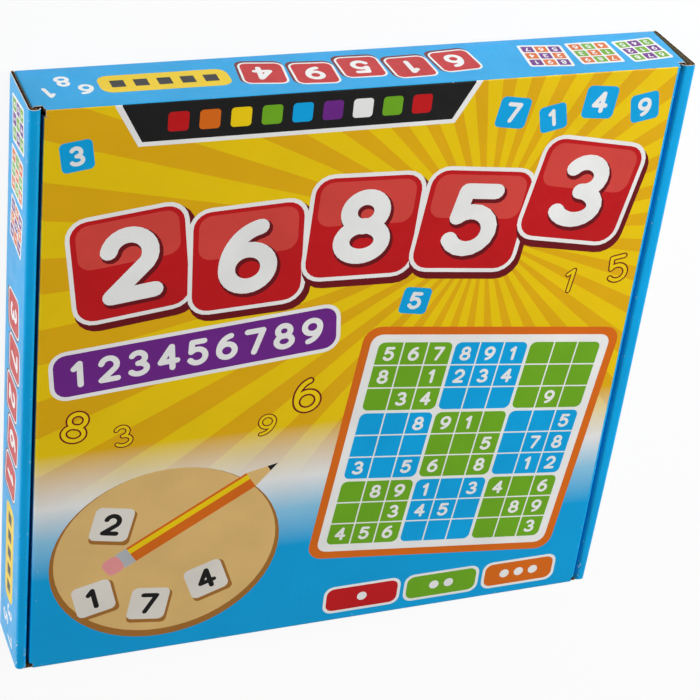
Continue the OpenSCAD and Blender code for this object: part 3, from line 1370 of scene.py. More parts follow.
@dataclass(frozen=True)
class WallDesign(Motif):
    """A side wall's print: small puzzles, red number tiles, a plain yellow bar and white digits on blue."""

    half_width: float
    middle: float
    seed: int
    puzzle_start: float = 14.0
    puzzle_pitch: float = 24.0
    puzzle_side: float = 21.0
    puzzle_turn: float = 6.0
    tile_start: float = -42.0
    tile_pitch: float = 22.0
    tile_steps: Point = (-1.0, 2.0)
    tile_turn: float = 5.0
    tile_turn_back: float = 3.0
    tile_count: int = 5
    tile_side: float = 18.0
    tile_rim: Pill = Pill(20.0, 20.0, 4.0)
    tile_shadow: Pill = Pill(21.0, 21.0, 4.0)
    shadow_fall: Point = (0.6, -0.8)
    bar_end: float = 58.0
    bar: Pill = Pill(56.0, 15.0, 5.0)
    mark: float = 6.0
    mark_count: int = 5
    mark_pitch: float = 10.0
    digit_end: float = 24.0
    digit_pitch: float = 8.0
    digit_rises: tuple[float, ...] = (3.0, -5.0, 4.0)
    digit_turn: float = -10.0
    digit_turn_on: float = 12.0
    digit: float = 9.0

    def number(self, step: int) -> int:
        """Gives a digit from the wall's seed."""
        return (step + self.seed) % DIGITS + 1

    def print_on(self, sheet: PrintSheet) -> None:
        """Prints the layers in order along the wall.

        Args:
            sheet: The sheet to print on.
        """
        pairs = ((Ink.GREEN, Ink.PURPLE), (Ink.ORANGE, Ink.GREEN), (Ink.PURPLE, Ink.ORANGE))
        for index, pair in enumerate(pairs):
            u = -self.half_width + self.puzzle_start + index * self.puzzle_pitch
            spot = Spot(u, self.middle, self.puzzle_turn - self.puzzle_turn * index)
            seed = self.seed + index
            Puzzle(spot, self.puzzle_side, pair, Ink.WHITE, BLOCKS, shown=1.0, seed=seed).print_on(sheet)
        self.print_tiles(sheet)
        bar = Spot(self.half_width - self.bar_end, self.middle)
        sheet.pill(bar, self.bar, Ink.YELLOW)
        for place in bar.row(self.mark_count, self.mark_pitch):
            sheet.bar(place, self.mark, self.mark, Ink.BLACK)
        for index, rise in enumerate(self.digit_rises):
            u = self.half_width - self.digit_end + index * self.digit_pitch
            spot = Spot(u, self.middle + rise, self.digit_turn + self.digit_turn_on * index)
            sheet.digit(self.number(2 * index), spot, self.digit, Ink.WHITE)

    def print_tiles(self, sheet: PrintSheet) -> None:
        """Prints the row of red number tiles.

        Args:
            sheet: The sheet to print on.
        """
        for index in range(self.tile_count):
            v = self.middle + self.tile_steps[index % 2]
            turn = self.tile_turn - self.tile_turn_back * index
            spot = Spot(self.tile_start + index * self.tile_pitch, v, turn)
            sheet.pill(spot.near(*self.shadow_fall), self.tile_shadow, Ink.MAROON)
            sheet.pill(spot, self.tile_rim, Ink.WHITE)
            sheet.tile(self.number(4 * index), spot, self.tile_side, Ink.RED, Ink.WHITE)


@dataclass(frozen=True)
class BaseDesign(Motif):
    """The bottom panel's print: a white field with a puzzle, plain coloured bars and a row of tiles."""

    ground: Pill = Pill(236.0, 236.0, 14.0)
    puzzle: Puzzle = Puzzle(Spot(-38, 30), 130, (Ink.SKY, Ink.DEEP_SKY), Ink.ORANGE, shown=0.4, seed=2)
    bars: Spot = Spot(72, 74)
    bar_pitch: float = 40.0
    bar: Pill = Pill(60.0, 24.0, 8.0)
    bar_digit: float = 15.0
    tile_row: float = -76.0
    tile_pitch: float = 24.0
    tile_side: float = 20.0
    tile_turn: float = 6.0
    tile_turn_back: float = 3.0
    turn_cycle: int = 5

    def print_on(self, sheet: PrintSheet) -> None:
        """Prints the layers in order, from the field up.

        Args:
            sheet: The sheet to print on.
        """
        sheet.pill(Spot(0, 0), self.ground, Ink.WHITE)
        self.puzzle.print_on(sheet)
        for index, ink in enumerate((Ink.RED, Ink.GREEN, Ink.PURPLE)):
            spot = self.bars.near(0, -index * self.bar_pitch)
            sheet.pill(spot, self.bar, ink)
            sheet.digit(index + 1, spot, self.bar_digit, Ink.WHITE)
        for index in range(DIGITS):
            turn = self.tile_turn - self.tile_turn_back * (index % self.turn_cycle)
            spot = Spot((index - DIGITS // 2) * self.tile_pitch, self.tile_row, turn)
            sheet.tile(index + 1, spot, self.tile_side, Ink.TAN, Ink.BLACK)


class Fold:
    """A way to bend a flat sheet into its shape."""

    def at(self, u: float, v: float, depth: float) -> Vector:
        """Gives the point of the bent sheet for a place on the flat one.

        Args:
            u: The place across the print.
            v: The place up the print.
            depth: How deep it lies under the print's face.

        Returns:
            The point, in metres.
        """
        raise NotImplementedError


@dataclass(frozen=True)
class FlatFold(Fold):
    """A flat panel: where its print's origin lies, and which way right and up run."""

    origin: Vector
    right: Vector
    up: Vector

    def at(self, u: float, v: float, depth: float) -> Vector:
        """Places the point on the panel."""
        inward = self.up.cross(self.right)
        return (self.origin + self.right * u + self.up * v + inward * depth) * MM


@dataclass(frozen=True)
class EdgeFold(Fold):
    """A rounded crease at an edge of the lid.

    u and v are the lid's own, and what lies past the edge bends down.
    """

    edge: Edge
    reach: float
    height: float
    radius: float

    @property
    def bend(self) -> float:
        """The length of the bent stretch."""
        return self.radius * QUARTER

    def at(self, u: float, v: float, depth: float) -> Vector:
        """Bends what lies past the edge down round the crease.

        Args:
            u: The place across the print.
            v: The place up the print.
            depth: How deep it lies under the print's face.

        Returns:
            The point, in metres.
        """
        across, along = self.edge.value
        past = across * u + along * v - self.reach
        turn = min(max(past, 0.0), self.bend) / self.radius
        radius = self.radius - depth
        out = self.reach + min(past, 0.0) + radius * math.sin(turn)
        height = self.height + radius * math.cos(turn) - max(past - self.bend, 0.0)
        return Vector((across * out if across else u, along * out if along else v, height)) * MM

    def strip(self, start: float, stop: float, ends: Point) -> Loop:
        """Outlines a strip of the sheet between two lengths past the edge.

        Args:
            start: Where it starts, past the edge.
            stop: Where it stops, past the edge.
            ends: Its two ends along the edge.

        Returns:
            The outline.
        """
        across, along = self.edge.value
        corners = ((start, ends[0]), (stop, ends[0]), (stop, ends[1]), (start, ends[1]))
        if across:
            return [(across * (self.reach + past), end) for past, end in corners]
        return [(end, along * (self.reach + past)) for past, end in corners]


@dataclass(frozen=True)
class EndWallFold(Fold):
    """The back or front wall, from its bottom edge up, with a round crease there and at both ends."""

    face: float
    wall: EndWall
    half_width: float
    radius: float

    def at(self, u: float, v: float, depth: float) -> Vector:
        """Bends the wall's foot and both its ends inwards.

        Args:
            u: The place across the print.
            v: The place up the print.
            depth: How deep it lies under the print's face.

        Returns:
            The point, in metres.
        """
        bend = self.radius * QUARTER
        flat = self.half_width - bend
        x, side_inset = self.wrapped(abs(u) - flat)
        low, foot_inset = self.wrapped(bend - v)
        wide = math.copysign(flat + x, u) if abs(u) > flat else u
        height = self.radius - low if v < bend else v - bend + self.radius
        inset = max(side_inset, foot_inset) + depth
        facing = self.wall.value
        return Vector((-facing * wide, facing * (self.face - inset), height)) * MM

    def wrapped(self, past: float) -> Point:
        """Gives how far a length past the start of a bend reaches forward and sideways."""
        turn = min(max(past, 0.0) / self.radius, QUARTER)
        return (self.radius * math.sin(turn), self.radius * (1 - math.cos(turn)))


@dataclass(frozen=True)
class RolledFold(Fold):
    """A rolled side.

    v runs from the bottom crease up the outer wall, over the bead and down the inner wall.
    spring is how far the outer wall stands out at the middle of the bead, as stiff board does
    when it is rolled.
    """

    side: Side
    wall_face: float
    crease_r: float
    bead_under: float
    bead_r: float
    bead_flat: float
    half_length: float
    spring: float = 0.0
    front_hold: float = 0.8
    rear_hold: float = 0.15

    @property
    def marks(self) -> list[float]:
        """The lengths at which the straight and round stretches meet."""
        stretches = (
            self.crease_r * QUARTER,
            self.bead_under - self.crease_r,
            self.bead_r * QUARTER,
            self.bead_flat,
            self.bead_r * QUARTER,
        )
        return list(accumulate(stretches, initial=0.0))

    def at(self, u: float, v: float, depth: float) -> Vector:
        """Rolls the sheet up on its side of the carton.

        Args:
            u: The place across the print.
            v: The place up the print.
            depth: How deep it lies under the print's face.

        Returns:
            The point, in metres.
        """
        sign = self.side.value
        out, height = self.profile(v, depth, self.opened(sign * u / self.half_length))
        return Vector((sign * out, sign * u, height)) * MM

    def opened(self, rearward: float) -> float:
        """Gives how far the roll stands open at a place from -1 at the front to 1 at the rear."""
        hold = self.rear_hold if rearward > 0 else self.front_hold
        return self.spring * (1 - hold * rearward**2)

    def profile(self, v: float, depth: float, opened: float) -> Point:
        """Follows the bent sheet.

        Args:
            v: The length along the sheet's face.
            depth: The depth under that face.
            opened: How far the outer wall stands out at the bead.

        Returns:
            The distance from the carton's middle plane and the height.
        """
        foot, bead, top, down, inner = self.marks[1:]
        if v < foot:
            turn = v / self.crease_r
            reach = self.crease_r - depth
            height = self.crease_r - reach * math.cos(turn)
            lean = opened * height / self.bead_under
            return (self.wall_face - self.crease_r + reach * math.sin(turn) + lean, height)
        if v < bead:
            height = self.crease_r + v - foot
            return (self.wall_face - depth + opened * height / self.bead_under, height)
        reach = self.bead_r - depth
        outer_mid = self.wall_face + opened - self.bead_r
        if v < top:
            turn = (v - bead) / self.bead_r
            return (outer_mid + reach * math.cos(turn), self.bead_under + reach * math.sin(turn))
        if v < down:
            return (outer_mid - (v - top) * (1 + opened / self.bead_flat), self.bead_under + reach)
        inner_mid = self.wall_face - self.bead_r - self.bead_flat
        if v < inner:
            turn = (v - down) / self.bead_r
            return (inner_mid - reach * math.sin(turn), self.bead_under + reach * math.cos(turn))
        return (inner_mid - reach, self.bead_under - (v - inner))


@dataclass(frozen=True)
class Corrugated:
    """The layers of micro-flute board."""

    thick: float
    face: float = 0.35
    back: float = 0.25
    medium: float = 0.22
    glue: float = 0.01
    pitch: float = 3.2
    steps: int = 8
    inset: float = 0.05

    @property
    def inner_liner(self) -> Point:
        """The depths between which the inner liner lies, where the flutes show."""
        return (self.thick - self.back, self.thick)

    @property
    def whole_back(self) -> Point:
        """The depths of all that lies behind the outer liner, where no flutes show."""
        return (self.face + self.glue, self.thick)

    @property
    def middle(self) -> float:
        """The depth half way between the liners."""
        return self.face + (self.thick - self.face - self.back) / 2

    @property
    def swing(self) -> float:
        """How far the medium's waves swing to each side."""
        return (self.thick - self.face - self.back - self.medium) / 2


def printed(ridge: Ridge) -> Callable[[Ink], Material]:
    """Gives the finish of each ink on a panel whose flutes show across one axis."""
    return lambda ink: PrintFinish(ink, ridge).material()


@dataclass
class Shell:
    """A mesh being put together from closed pieces."""

    points: list[Vector] = field(default_factory=list)
    faces: list[tuple[int, ...]] = field(default_factory=list)
    finishes: list[Material] = field(default_factory=list)
    round_to: float = 40.0

    def add_face(self, corners: Sequence[int], finish: Material) -> None:
        """Adds one face by its corners' numbers."""
        self.faces.append(tuple(corners))
        self.finishes.append(finish)

    def skin(
        self,
        cut: Cut,
        fold: Fold,
        depths: Point,
        front: Callable[[Ink], Material],
        back: Material,
        edge: Material,
    ) -> None:
        """Adds a closed layer of a cut sheet.

        Args:
            cut: The triangles of the flat sheet.
            fold: The fold that shapes it.
            depths: The depths of its front and back faces.
            front: Gives the finish of a triangle from its ink.
            back: The finish of its back.
            edge: The finish of its cut edges.
        """
        start = len(self.points)
        behind = start + len(cut.spots)
        for depth in depths:
            self.points.extend(fold.at(u, v, depth) for u, v in cut.spots)
        sides: dict[tuple[int, int], None] = {}
        for (a, b, c), ink in zip(cut.triangles, cut.inks):
            self.add_face((start + a, start + b, start + c), front(ink))
            self.add_face((behind + c, behind + b, behind + a), back)
            sides.update(dict.fromkeys(((a, b), (b, c), (c, a))))
        for a, b in sides:
            if (b, a) not in sides:
                self.add_face((start + b, start + a, behind + a, behind + b), edge)

    def liner(self, sheet: PrintSheet, fold: Fold, board: Corrugated, ridge: Ridge) -> None:
        """Adds the printed outer liner of a folded sheet."""
        paper = PrintFinish(Ink.PAPER, ridge).material()
        self.skin(sheet.cut(), fold, (0, board.face), printed(ridge), KraftFinish().material(), paper)

    def lining(self, sheet: PrintSheet, fold: Fold, depths: Point) -> None:
        """Adds the bare brown layer behind the print, between two depths."""
        kraft = KraftFinish().material()
        # its cut edges take the edge finish that is painted dark as shade
        self.skin(sheet.bare().cut(), fold, depths, lambda _: kraft, kraft, CutEdgeFinish().material())

    def flutes(
        self,
        fold: Fold,
        board: Corrugated,
        span: Point,
        reach: Callable[[float], Point],
        run: Flutes,
        stretches: int = 1,
    ) -> None:
        """Adds the waved medium between the two liners.

        Args:
            fold: The fold that shapes the sheet.
            board: The board's layers.
            span: Where the waves start and stop, across the flutes.
            reach: Gives the flutes' two ends at a place across them.
            run: The direction that the flutes run along.
            stretches: How many straight stretches each flute is made of.
        """
        start = len(self.points)
        count = max(2, math.ceil((span[1] - span[0]) / board.pitch * board.steps))
        for across in between(*span, count):
            wave = board.middle + board.swing * math.sin(math.tau * (across - span[0]) / board.pitch)
            for depth in (wave - board.medium / 2, wave + board.medium / 2):
                for along in between(*reach(across), stretches):
                    flat = (along, across) if run is Flutes.ALONG_U else (across, along)
                    self.points.append(fold.at(*flat, depth))
        # the medium's dark colour is painted shade for the hollows between the liners
        medium = MediumFinish().material()
        for quad in self.wave_faces(start, count, stretches):
            self.add_face(quad[::-1] if run is Flutes.ALONG_V else quad, medium)

    def wave_faces(self, start: int, count: int, stretches: int) -> list[tuple[int, ...]]:
        """Joins the rings of points of a waved layer into a closed skin.

        Args:
            start: The number of its first point.
            count: The number of steps across the flutes.
            stretches: The number of steps along a flute.

        Returns:
            The faces by their corners' numbers.
        """
        under = stretches + 1
        ring = 2 * under
        last = start + ring * count
        quads: list[tuple[int, ...]] = []
        for low in range(start, last, ring):
            for near in range(low, low + stretches):
                far = near + 1
                quads.append((near, far, far + ring, near + ring))
                quads.append((far + under, near + under, near + under + ring, far + under + ring))
            tip = low + stretches
            quads.append((low + under, low, low + ring, low + under + ring))
            quads.append((tip, tip + under, tip + under + ring, tip + ring))
        for step in range(stretches):
            first, final = start + step, last + step
            quads.append((first, first + under, first + under + 1, first + 1))
            quads.append((final, final + 1, final + under + 1, final + under))
        return quads

    def build(self, name: str) -> bpy.types.Object:
        """Makes the Blender object and logs it.

        Args:
            name: The piece's name.

        Returns:
            The object, linked to the scene.
        """
        mesh = bpy.data.meshes.new(name)
        mesh.from_pydata(self.points, [], self.faces)
        slots = list(dict.fromkeys(self.finishes))
        for finish in slots:
            mesh.materials.append(finish)
        order = {finish.name: index for index, finish in enumerate(slots)}
        for polygon, finish in zip(mesh.polygons, self.finishes):
            polygon.material_index = order[finish.name]
        mesh.shade_smooth()
        mesh.set_sharp_from_angle(angle=math.radians(self.round_to))
        mesh.update()
        piece = bpy.data.objects.new(name, mesh)
        bpy.context.scene.collection.objects.link(piece)
        log.info("%s: %d faces", name, len(mesh.polygons))
        return piece

    def ride(self, name: str, body: str, slot: str, *nodes: str) -> None:
        """Makes a piece that rides a body and hides the CAD nodes that it takes the place of.

        Args:
            name: The piece's name.
            body: The body that it rides.
            slot: The record's slot for its finish; not used.
            *nodes: The CAD nodes that it takes the place of, which it hides, if any.
        """
        piece = self.build(name)
        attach(piece, body)
        if nodes:
            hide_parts(*nodes)


@dataclass
class Assembly:
    """Pieces that are measured from the loaded frame."""

    frame: dict

    def corners(self, node: str) -> list[Vector]:
        """Lists the corners of a CAD node's mesh, in millimetres."""
        return [vertex.co / MM for vertex in self.frame["nodes"][node].data.vertices]

    def joint_at(self, name: str) -> Vector:
        """Gives a point on a joint's axis, in millimetres."""
        (joint,) = [j for j in self.frame["joints"] if j["name"] == name]
        return Vector(joint["pos_m"]) / MM

    def width_at(self, node: str, axis: Axis, height: float) -> Point:
        """Gives a CAD node's lowest and highest place along an axis, at one of its heights."""
        places = [p[axis.value] for p in self.corners(node) if abs(p.z - height) < TOUCH]
        return min(places), max(places)

    def ranges_at_foot(self, node: str) -> list[Point]:
        """Lists the stretches along Y that a CAD node has at its lowest height.

        Args:
            node: The CAD node's name.

        Returns:
            The two ends of each stretch.
        """
        foot = in_mm(node)[0].z + TOUCH
        ends = distinct(p.y for p in self.corners(node) if p.z < foot)
        return list(zip(ends[::2], ends[1::2]))

    def dress(self, node: str, finish: Finish) -> bpy.types.Object:
        """Gives a CAD node its finish.

        Args:
            node: The node.
            finish: Its finish.

        Returns:
            The node's object.
        """
        piece = self.frame["nodes"][node]
        piece.data.materials.clear()
        piece.data.materials.append(finish.material())
        log.info("%s dressed", node)
        return piece


def in_mm(node: str) -> tuple[Vector, Vector]:
    """Gives a CAD node's lowest and highest corner, in millimetres."""
    low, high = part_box(node)
    return low / MM, high / MM


def distinct(values: Iterable[float]) -> list[float]:
    """Counts values that nearly touch as one.

    Args:
        values: The values.

    Returns:
        The values that are left, in order and rounded.
    """
    found: list[float] = []
    for value in sorted(values):
        if not found or value - found[-1] > TOUCH:
            found.append(round(value, 2))
    return found


@dataclass
class CartonTray(Assembly):
    """The carton's tray: bottom, end walls and rolled sides."""

    board: Corrugated
    bend_steps: int = 6
    bow_steps: int = 10
    overrun: float = 1.0
    right_spring: float = 2.2
    roll_ease: float = 0.02
    roll_start: float = 0.2
    slot_play: float = 0.2
    print_margin: float = 2.0
    side_seed: int = 3
    end_seed: int = 6
    bead_wear: Wear = Wear(9, 1.6, 11)
    groove_wear: Wear = Wear(7, 1.4, 12)
    foot_wear: Wear = Wear(9, 2.0, 13)
    corner_wear: Wear = Wear(7, 2.4, 14)
    corner_length: float = 26.0
    end_foot_wear: Wear = Wear(9, 1.8, 20)
    end_side_wear: Wear = Wear(3, 1.6, 21)
    bead_line: float = 1.0
    corner_line: float = 1.5
    foot_line: float = 1.2

    def roll(self, side: Side) -> RolledFold:
        """Measures the fold of one rolled side.

        Args:
            side: Which side.

        Returns:
            The fold.
        """
        wall_low, wall_high = in_mm(f"{side.word}_outer_wall")
        roll_low, roll_high = in_mm(f"{side.word}_roll_strip")
        face = max(abs(wall_low.x), abs(wall_high.x))
        bead_r = roll_high.z - roll_low.z
        flat = (roll_high.x - roll_low.x) - 2 * bead_r
        spring = self.right_spring if side is Side.RIGHT else 0.0
        return RolledFold(side, face, self.board.thick, roll_low.z, bead_r, flat, wall_high.y, spring)

    def wear_roll(self, sheet: PrintSheet, fold: RolledFold, ends: Sequence[float], front: float) -> None:
        """Prints the wear of a rolled side along its folds and at its front corner.

        Args:
            sheet: The side's sheet.
            fold: Its fold.
            ends: Its two ends.
            front: The end at the front corner.
        """
        _, bead, _, down, _ = fold.marks[1:]
        lines = (bead + self.bead_line, down + self.bead_line, self.foot_line)
        for wear, v in zip((self.bead_wear, self.groove_wear, self.foot_wear), lines):
            wear.along((ends[0], v), (ends[1], v)).print_on(sheet)
        far = front + fold.side.value * self.corner_length
        for later, v in enumerate((bead + self.bead_line, down + self.corner_line)):
            self.corner_wear.along((front, v), (far, v), later).print_on(sheet)

    def rolled_side(self, side: Side) -> None:
        """Builds one rolled side from its outer wall, bead and inner wall.

        Args:
            side: Which side.
        """
        inner_wall = f"{side.word}_inner_wall"
        wall_low, wall_high = in_mm(f"{side.word}_outer_wall")
        inner_low, inner_high = in_mm(inner_wall)
        fold = self.roll(side)
        foot, bead, top, down, inner = fold.marks[1:]
        ends = side.across(wall_low.y, wall_high.y)
        inner_ends = side.across(inner_low.y, inner_high.y)
        floor = inner + fold.bead_under - self.board.thick
        lock_end = inner + fold.bead_under - inner_low.z
        outline: Loop = [(ends[0], 0), (ends[1], 0), (ends[1], inner), (inner_ends[1], inner)]
        outline.append((inner_ends[1], floor))
        locks = [side.across(*lock) for lock in self.ranges_at_foot(inner_wall)]
        for left, right in sorted(locks, reverse=True):
            outline += [(right, floor), (right, lock_end), (left, lock_end), (left, floor)]
        outline += [(inner_ends[0], floor), (inner_ends[0], inner), (ends[0], inner)]
        sheet = PrintSheet(outline, Ink.SKY)
        for start, stop in ((0, foot), (bead, top), (down, inner)):
            for v in between(start, stop, self.bend_steps):
                sheet.bends.append(((ends[0] - self.overrun, v), (ends[1] + self.overrun, v)))
        for u in between(*ends, self.bow_steps)[1:-1]:
            sheet.bends.append(((u, -self.overrun), (u, lock_end + self.overrun)))
        seed = self.side_seed + side.value
        WallDesign((ends[1] - ends[0]) / 2, (foot + bead) / 2, seed).print_on(sheet)
        self.wear_roll(sheet, fold, ends, side.value * wall_low.y)
        shell = Shell()
        shell.liner(sheet, fold, self.board, Ridge.ACROSS_Z)
        near, far = self.board.inner_liner
        shell.lining(sheet, fold, (near, far - self.roll_ease))

        def reach(v: float) -> Point:
            """Gives the flutes' ends at a length round the roll."""
            left, right = ends if v <= inner else inner_ends
            return (left + self.board.inset, right - self.board.inset)

        shell.flutes(fold, self.board, (self.roll_start, floor), reach, Flutes.ALONG_U, self.bow_steps)
        nodes = (f"{side.word}_outer_wall", f"{side.word}_roll_strip", inner_wall)
        shell.ride(f"rolled_{side.word}_side", "carton", "printed_board", *nodes)

    def end_wall(self, wall: EndWall) -> None:
        """Builds the back or the front wall.

        Args:
            wall: Which wall.
        """
        node = f"{wall.word}_wall"
        low, high = in_mm(node)
        board = self.board
        bend = board.thick * QUARTER
        half = high.x - board.thick + bend
        fold = EndWallFold(max(abs(low.y), abs(high.y)), wall, half, board.thick)
        top = high.z - board.thick + bend
        end_height = max(p.z for p in self.corners(node) if p.x > high.x - board.thick - TOUCH)
        end_top = end_height - board.thick + bend
        notch = self.width_at(node, Axis.X, high.z)[1]
        outline = rectangle(-half, 0, half, end_top)
        if end_top < top - 2 * TOUCH:
            outline[3:3] = [(notch, end_top), (notch, top), (-notch, top), (-notch, end_top)]
        else:
            outline = rectangle(-half, 0, half, top)
        sheet = PrintSheet(outline, Ink.SKY)
        for share in between(0, bend, self.bend_steps):
            sheet.bends.append(((-half - self.overrun, share), (half + self.overrun, share)))
            for line in (share - half, half - share):
                sheet.bends.append(((line, -self.overrun), (line, top + self.overrun)))
        seed = self.end_seed - wall.value
        WallDesign(half - self.print_margin, (top + bend) / 2, seed).print_on(sheet)
        foot = self.foot_line
        self.end_foot_wear.along((-half, foot), (half, foot), seed).print_on(sheet)
        for side in Side:
            u = side.value * (half - foot)
            self.end_side_wear.along((u, 0), (u, end_top), seed + side.value).print_on(sheet)
        shell = Shell()
        shell.liner(sheet, fold, board, Ridge.ACROSS_X)
        shell.lining(sheet, fold, board.inner_liner)
        flat = half - bend
        shell.flutes(fold, board, (-flat, flat), lambda _: (bend, end_top - board.inset), Flutes.ALONG_V)
        shell.ride(f"printed_{node}", "carton", "printed_board", node)

    def bottom(self) -> None:
        """Builds the bottom panel with its slots for the lock tabs."""
        low, high = in_mm("bottom_panel")
        sheet = PrintSheet(rectangle(low.x, low.y, high.x, high.y), Ink.SKY)
        BaseDesign().print_on(sheet)
        play = self.slot_play
        for side in Side:
            inner_wall = f"{side.word}_inner_wall"
            left, right = sorted(-corner.x for corner in in_mm(inner_wall))
            for start, stop in self.ranges_at_foot(inner_wall):
                sheet.holes.append(rectangle(left - play, start - play, right + play, stop + play))
        fold = FlatFold(Vector((0, 0, low.z)), Vector((-1, 0, 0)), Vector((0, 1, 0)))
        shell = Shell()
        shell.liner(sheet, fold, self.board, Ridge.ACROSS_X)
        shell.lining(sheet, fold, self.board.whole_back)
        shell.ride("printed_bottom", "carton", "printed_board", "bottom_panel")

    def build(self) -> None:
        """Builds the whole tray and dresses its corner tabs."""
        self.bottom()
        for wall in EndWall:
            self.end_wall(wall)
        for side in Side:
            self.rolled_side(side)
        for wall in EndWall:
            for side in Side:
                blue = PrintFinish(Ink.SKY, Ridge.ACROSS_Z)
                self.dress(f"{wall.word}_{side.word}_corner_tab", blue)


@dataclass
class CartonLid(Assembly):
    """The hinged lid with its tuck flap, two dust flaps and the creases between them."""

    board: Corrugated
    crease_steps: int = 8
    overrun: float = 1.0
    print_edge: float = 0.55
    print_shift: float = -1.5
    ear: float = 1.2
    ear_gap: float = 0.3
    edge_wear: Wear = Wear(5, 1.3, 31)
    side_line: float = 0.5
    front_line: float = 0.6
    tip_wear: Wear = Wear(8, 1.8, 41)
    crease_wear: Wear = Wear(6, 1.4, 51)

    @property
    def design(self) -> LidDesign:
        """The lid's print, which runs on over its creases."""
        low, high = in_mm("lid_panel")
        return LidDesign(high.x, low.y, self.joint_at("lid_hinge").y)

    def panel(self) -> None:
        """Builds the lid's panel with its print."""
        low, high = in_mm("lid_panel")
        rear = self.joint_at("lid_hinge").y
        crease_z = self.joint_at("left_dust_flap_fold").z
        ear_foot = self.width_at("left_dust_flap", Axis.Y, crease_z)[1] + self.ear_gap
        half = high.x + self.ear
        outline: Loop = [(low.x, low.y), (high.x, low.y), (high.x, ear_foot), (half, ear_foot)]
        outline += [(half, rear), (-half, rear), (-half, ear_foot), (low.x, ear_foot)]
        sheet = PrintSheet(outline, Ink.SUN)
        self.design.print_on(sheet)
        left, right, front = low.x + self.side_line, high.x - self.side_line, low.y + self.front_line
        lines = (
            ((left, low.y), (left, rear)),
            ((right, low.y), (right, rear)),
            ((low.x, front), (high.x, front)),
        )
        for later, (start, stop) in enumerate(lines):
            self.edge_wear.along(start, stop, later).print_on(sheet)
        fold = FlatFold(Vector((0, 0, high.z)), Vector((1, 0, 0)), Vector((0, 1, 0)))
        shell = Shell()
        shell.liner(sheet, fold, self.board, Ridge.ACROSS_X)
        shell.lining(sheet, fold, self.board.whole_back)
        shell.ride("printed_lid", "lid", "lid_board", "lid_panel")

    def flap(self, node: str, fold: FlatFold, axis: Axis, run: Flutes) -> None:
        """Builds a flap that hangs from the lid.

        Args:
            node: The flap's CAD node, which is also its body.
            fold: Its place.
            axis: The axis that it is wide along.
            run: The direction of its flutes.
        """
        board = self.board
        root = self.joint_at(f"{node}_fold").z
        sign = fold.right[axis.value]
        levels = [(z, sorted(sign * end for end in ends)) for z, ends in self.levels(node, axis, root)]
        outline = [(ends[1], z) for z, ends in levels] + [(ends[0], z) for z, ends in reversed(levels)]
        sheet = PrintSheet(outline, Ink.SKY)
        (tip, (tip_left, tip_right)), (step, (root_left, root_right)) = levels[:2]
        self.tip_wear.along((tip_left, tip), (tip_right, tip)).print_on(sheet)
        shell = Shell()
        shell.liner(sheet, fold, board, Ridge.ACROSS_Z if run is Flutes.ALONG_U else Ridge.ACROSS_X)
        shell.lining(sheet, fold, board.inner_liner)

        def ends_at(v: float) -> Point:
            """Gives the flap's two ends at a height."""
            share = (v - tip) / (step - tip)
            return (tip_left + (root_left - tip_left) * share, tip_right + (root_right - tip_right) * share)

        if run is Flutes.ALONG_U:
            shell.flutes(fold, board, (tip + 2 * board.inset, step - 2 * board.inset), ends_at, run)
        else:
            rise = (tip + board.inset, root - board.inset)
            shell.flutes(fold, board, (tip_left, tip_right), lambda _: rise, run)
        shell.ride(f"printed_{node}", node, "lid_board", node)

    def levels(self, node: str, axis: Axis, root: float) -> list[tuple[float, Point]]:
        """Measures a flap's width at each height where its outline turns.

        Args:
            node: The flap's CAD node.
            axis: The axis that it is wide along.
            root: The height of its crease's axis.

        Returns:
            Heights with the flap's two ends there, from the tip up, twice where it steps.
        """
        points = self.corners(node)
        found: list[tuple[float, Point]] = []
        for height in distinct(p.z for p in points if p.z < root + TOUCH):
            places = distinct(p[axis.value] for p in points if abs(p.z - height) < TOUCH)
            half = len(places) // 2
            steps = zip(places[:half][::-1], places[-half:])
            found.extend((height, step) for step in steps)
        return found

    def flaps(self) -> None:
        """Builds the two dust flaps and the tuck flap."""
        up = Vector((0, 0, 1))
        for side in Side:
            node = f"{side.word}_dust_flap"
            face = max(abs(corner.x) for corner in in_mm(node)) * side.value
            fold = FlatFold(Vector((face, 0, 0)), Vector((0, side.value, 0)), up)
            self.flap(node, fold, Axis.Y, Flutes.ALONG_U)
        low, _ = in_mm("tuck_flap")
        fold = FlatFold(Vector((0, low.y, 0)), Vector((1, 0, 0)), up)
        self.flap("tuck_flap", fold, Axis.X, Flutes.ALONG_V)

    def crease(self, name: str, fold: EdgeFold, gap: float, ends: Point, tail: float, body: str) -> None:
        """Builds the bent strip of liner between the lid and a panel.

        Args:
            name: The piece's name.
            fold: Its place.
            gap: How far before the bend it starts.
            ends: Where it starts and stops along the crease.
            tail: How far it runs on past the bend.
            body: The body that the lid folds on; not used.
        """
        sheet = PrintSheet(fold.strip(-gap, fold.bend + tail, ends), Ink.SUN)
        self.design.print_on(sheet)
        wider = (ends[0] - self.overrun, ends[1] + self.overrun)
        across, _ = fold.edge.value
        edge = fold.bend * self.print_edge + across * self.print_shift
        past = max(edge, fold.bend + tail) + self.overrun
        sheet.layers.append((fold.strip(edge, past, wider), Ink.SKY))
        for place in between(0, fold.bend, self.crease_steps):
            first, *_, second = fold.strip(place, 0, wider)
            sheet.bends.append((first, second))
        start, *_, stop = fold.strip(fold.bend / 2, 0, ends)
        self.crease_wear.along(start, stop).print_on(sheet)
        shell = Shell()
        shell.liner(sheet, fold, self.board, Ridge.ACROSS_X)
        piece = shell.build(name)
        (near, *_), (far, *_) = (fold.strip(place, place, ends) for place in (0.0, fold.bend))
        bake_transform(piece)

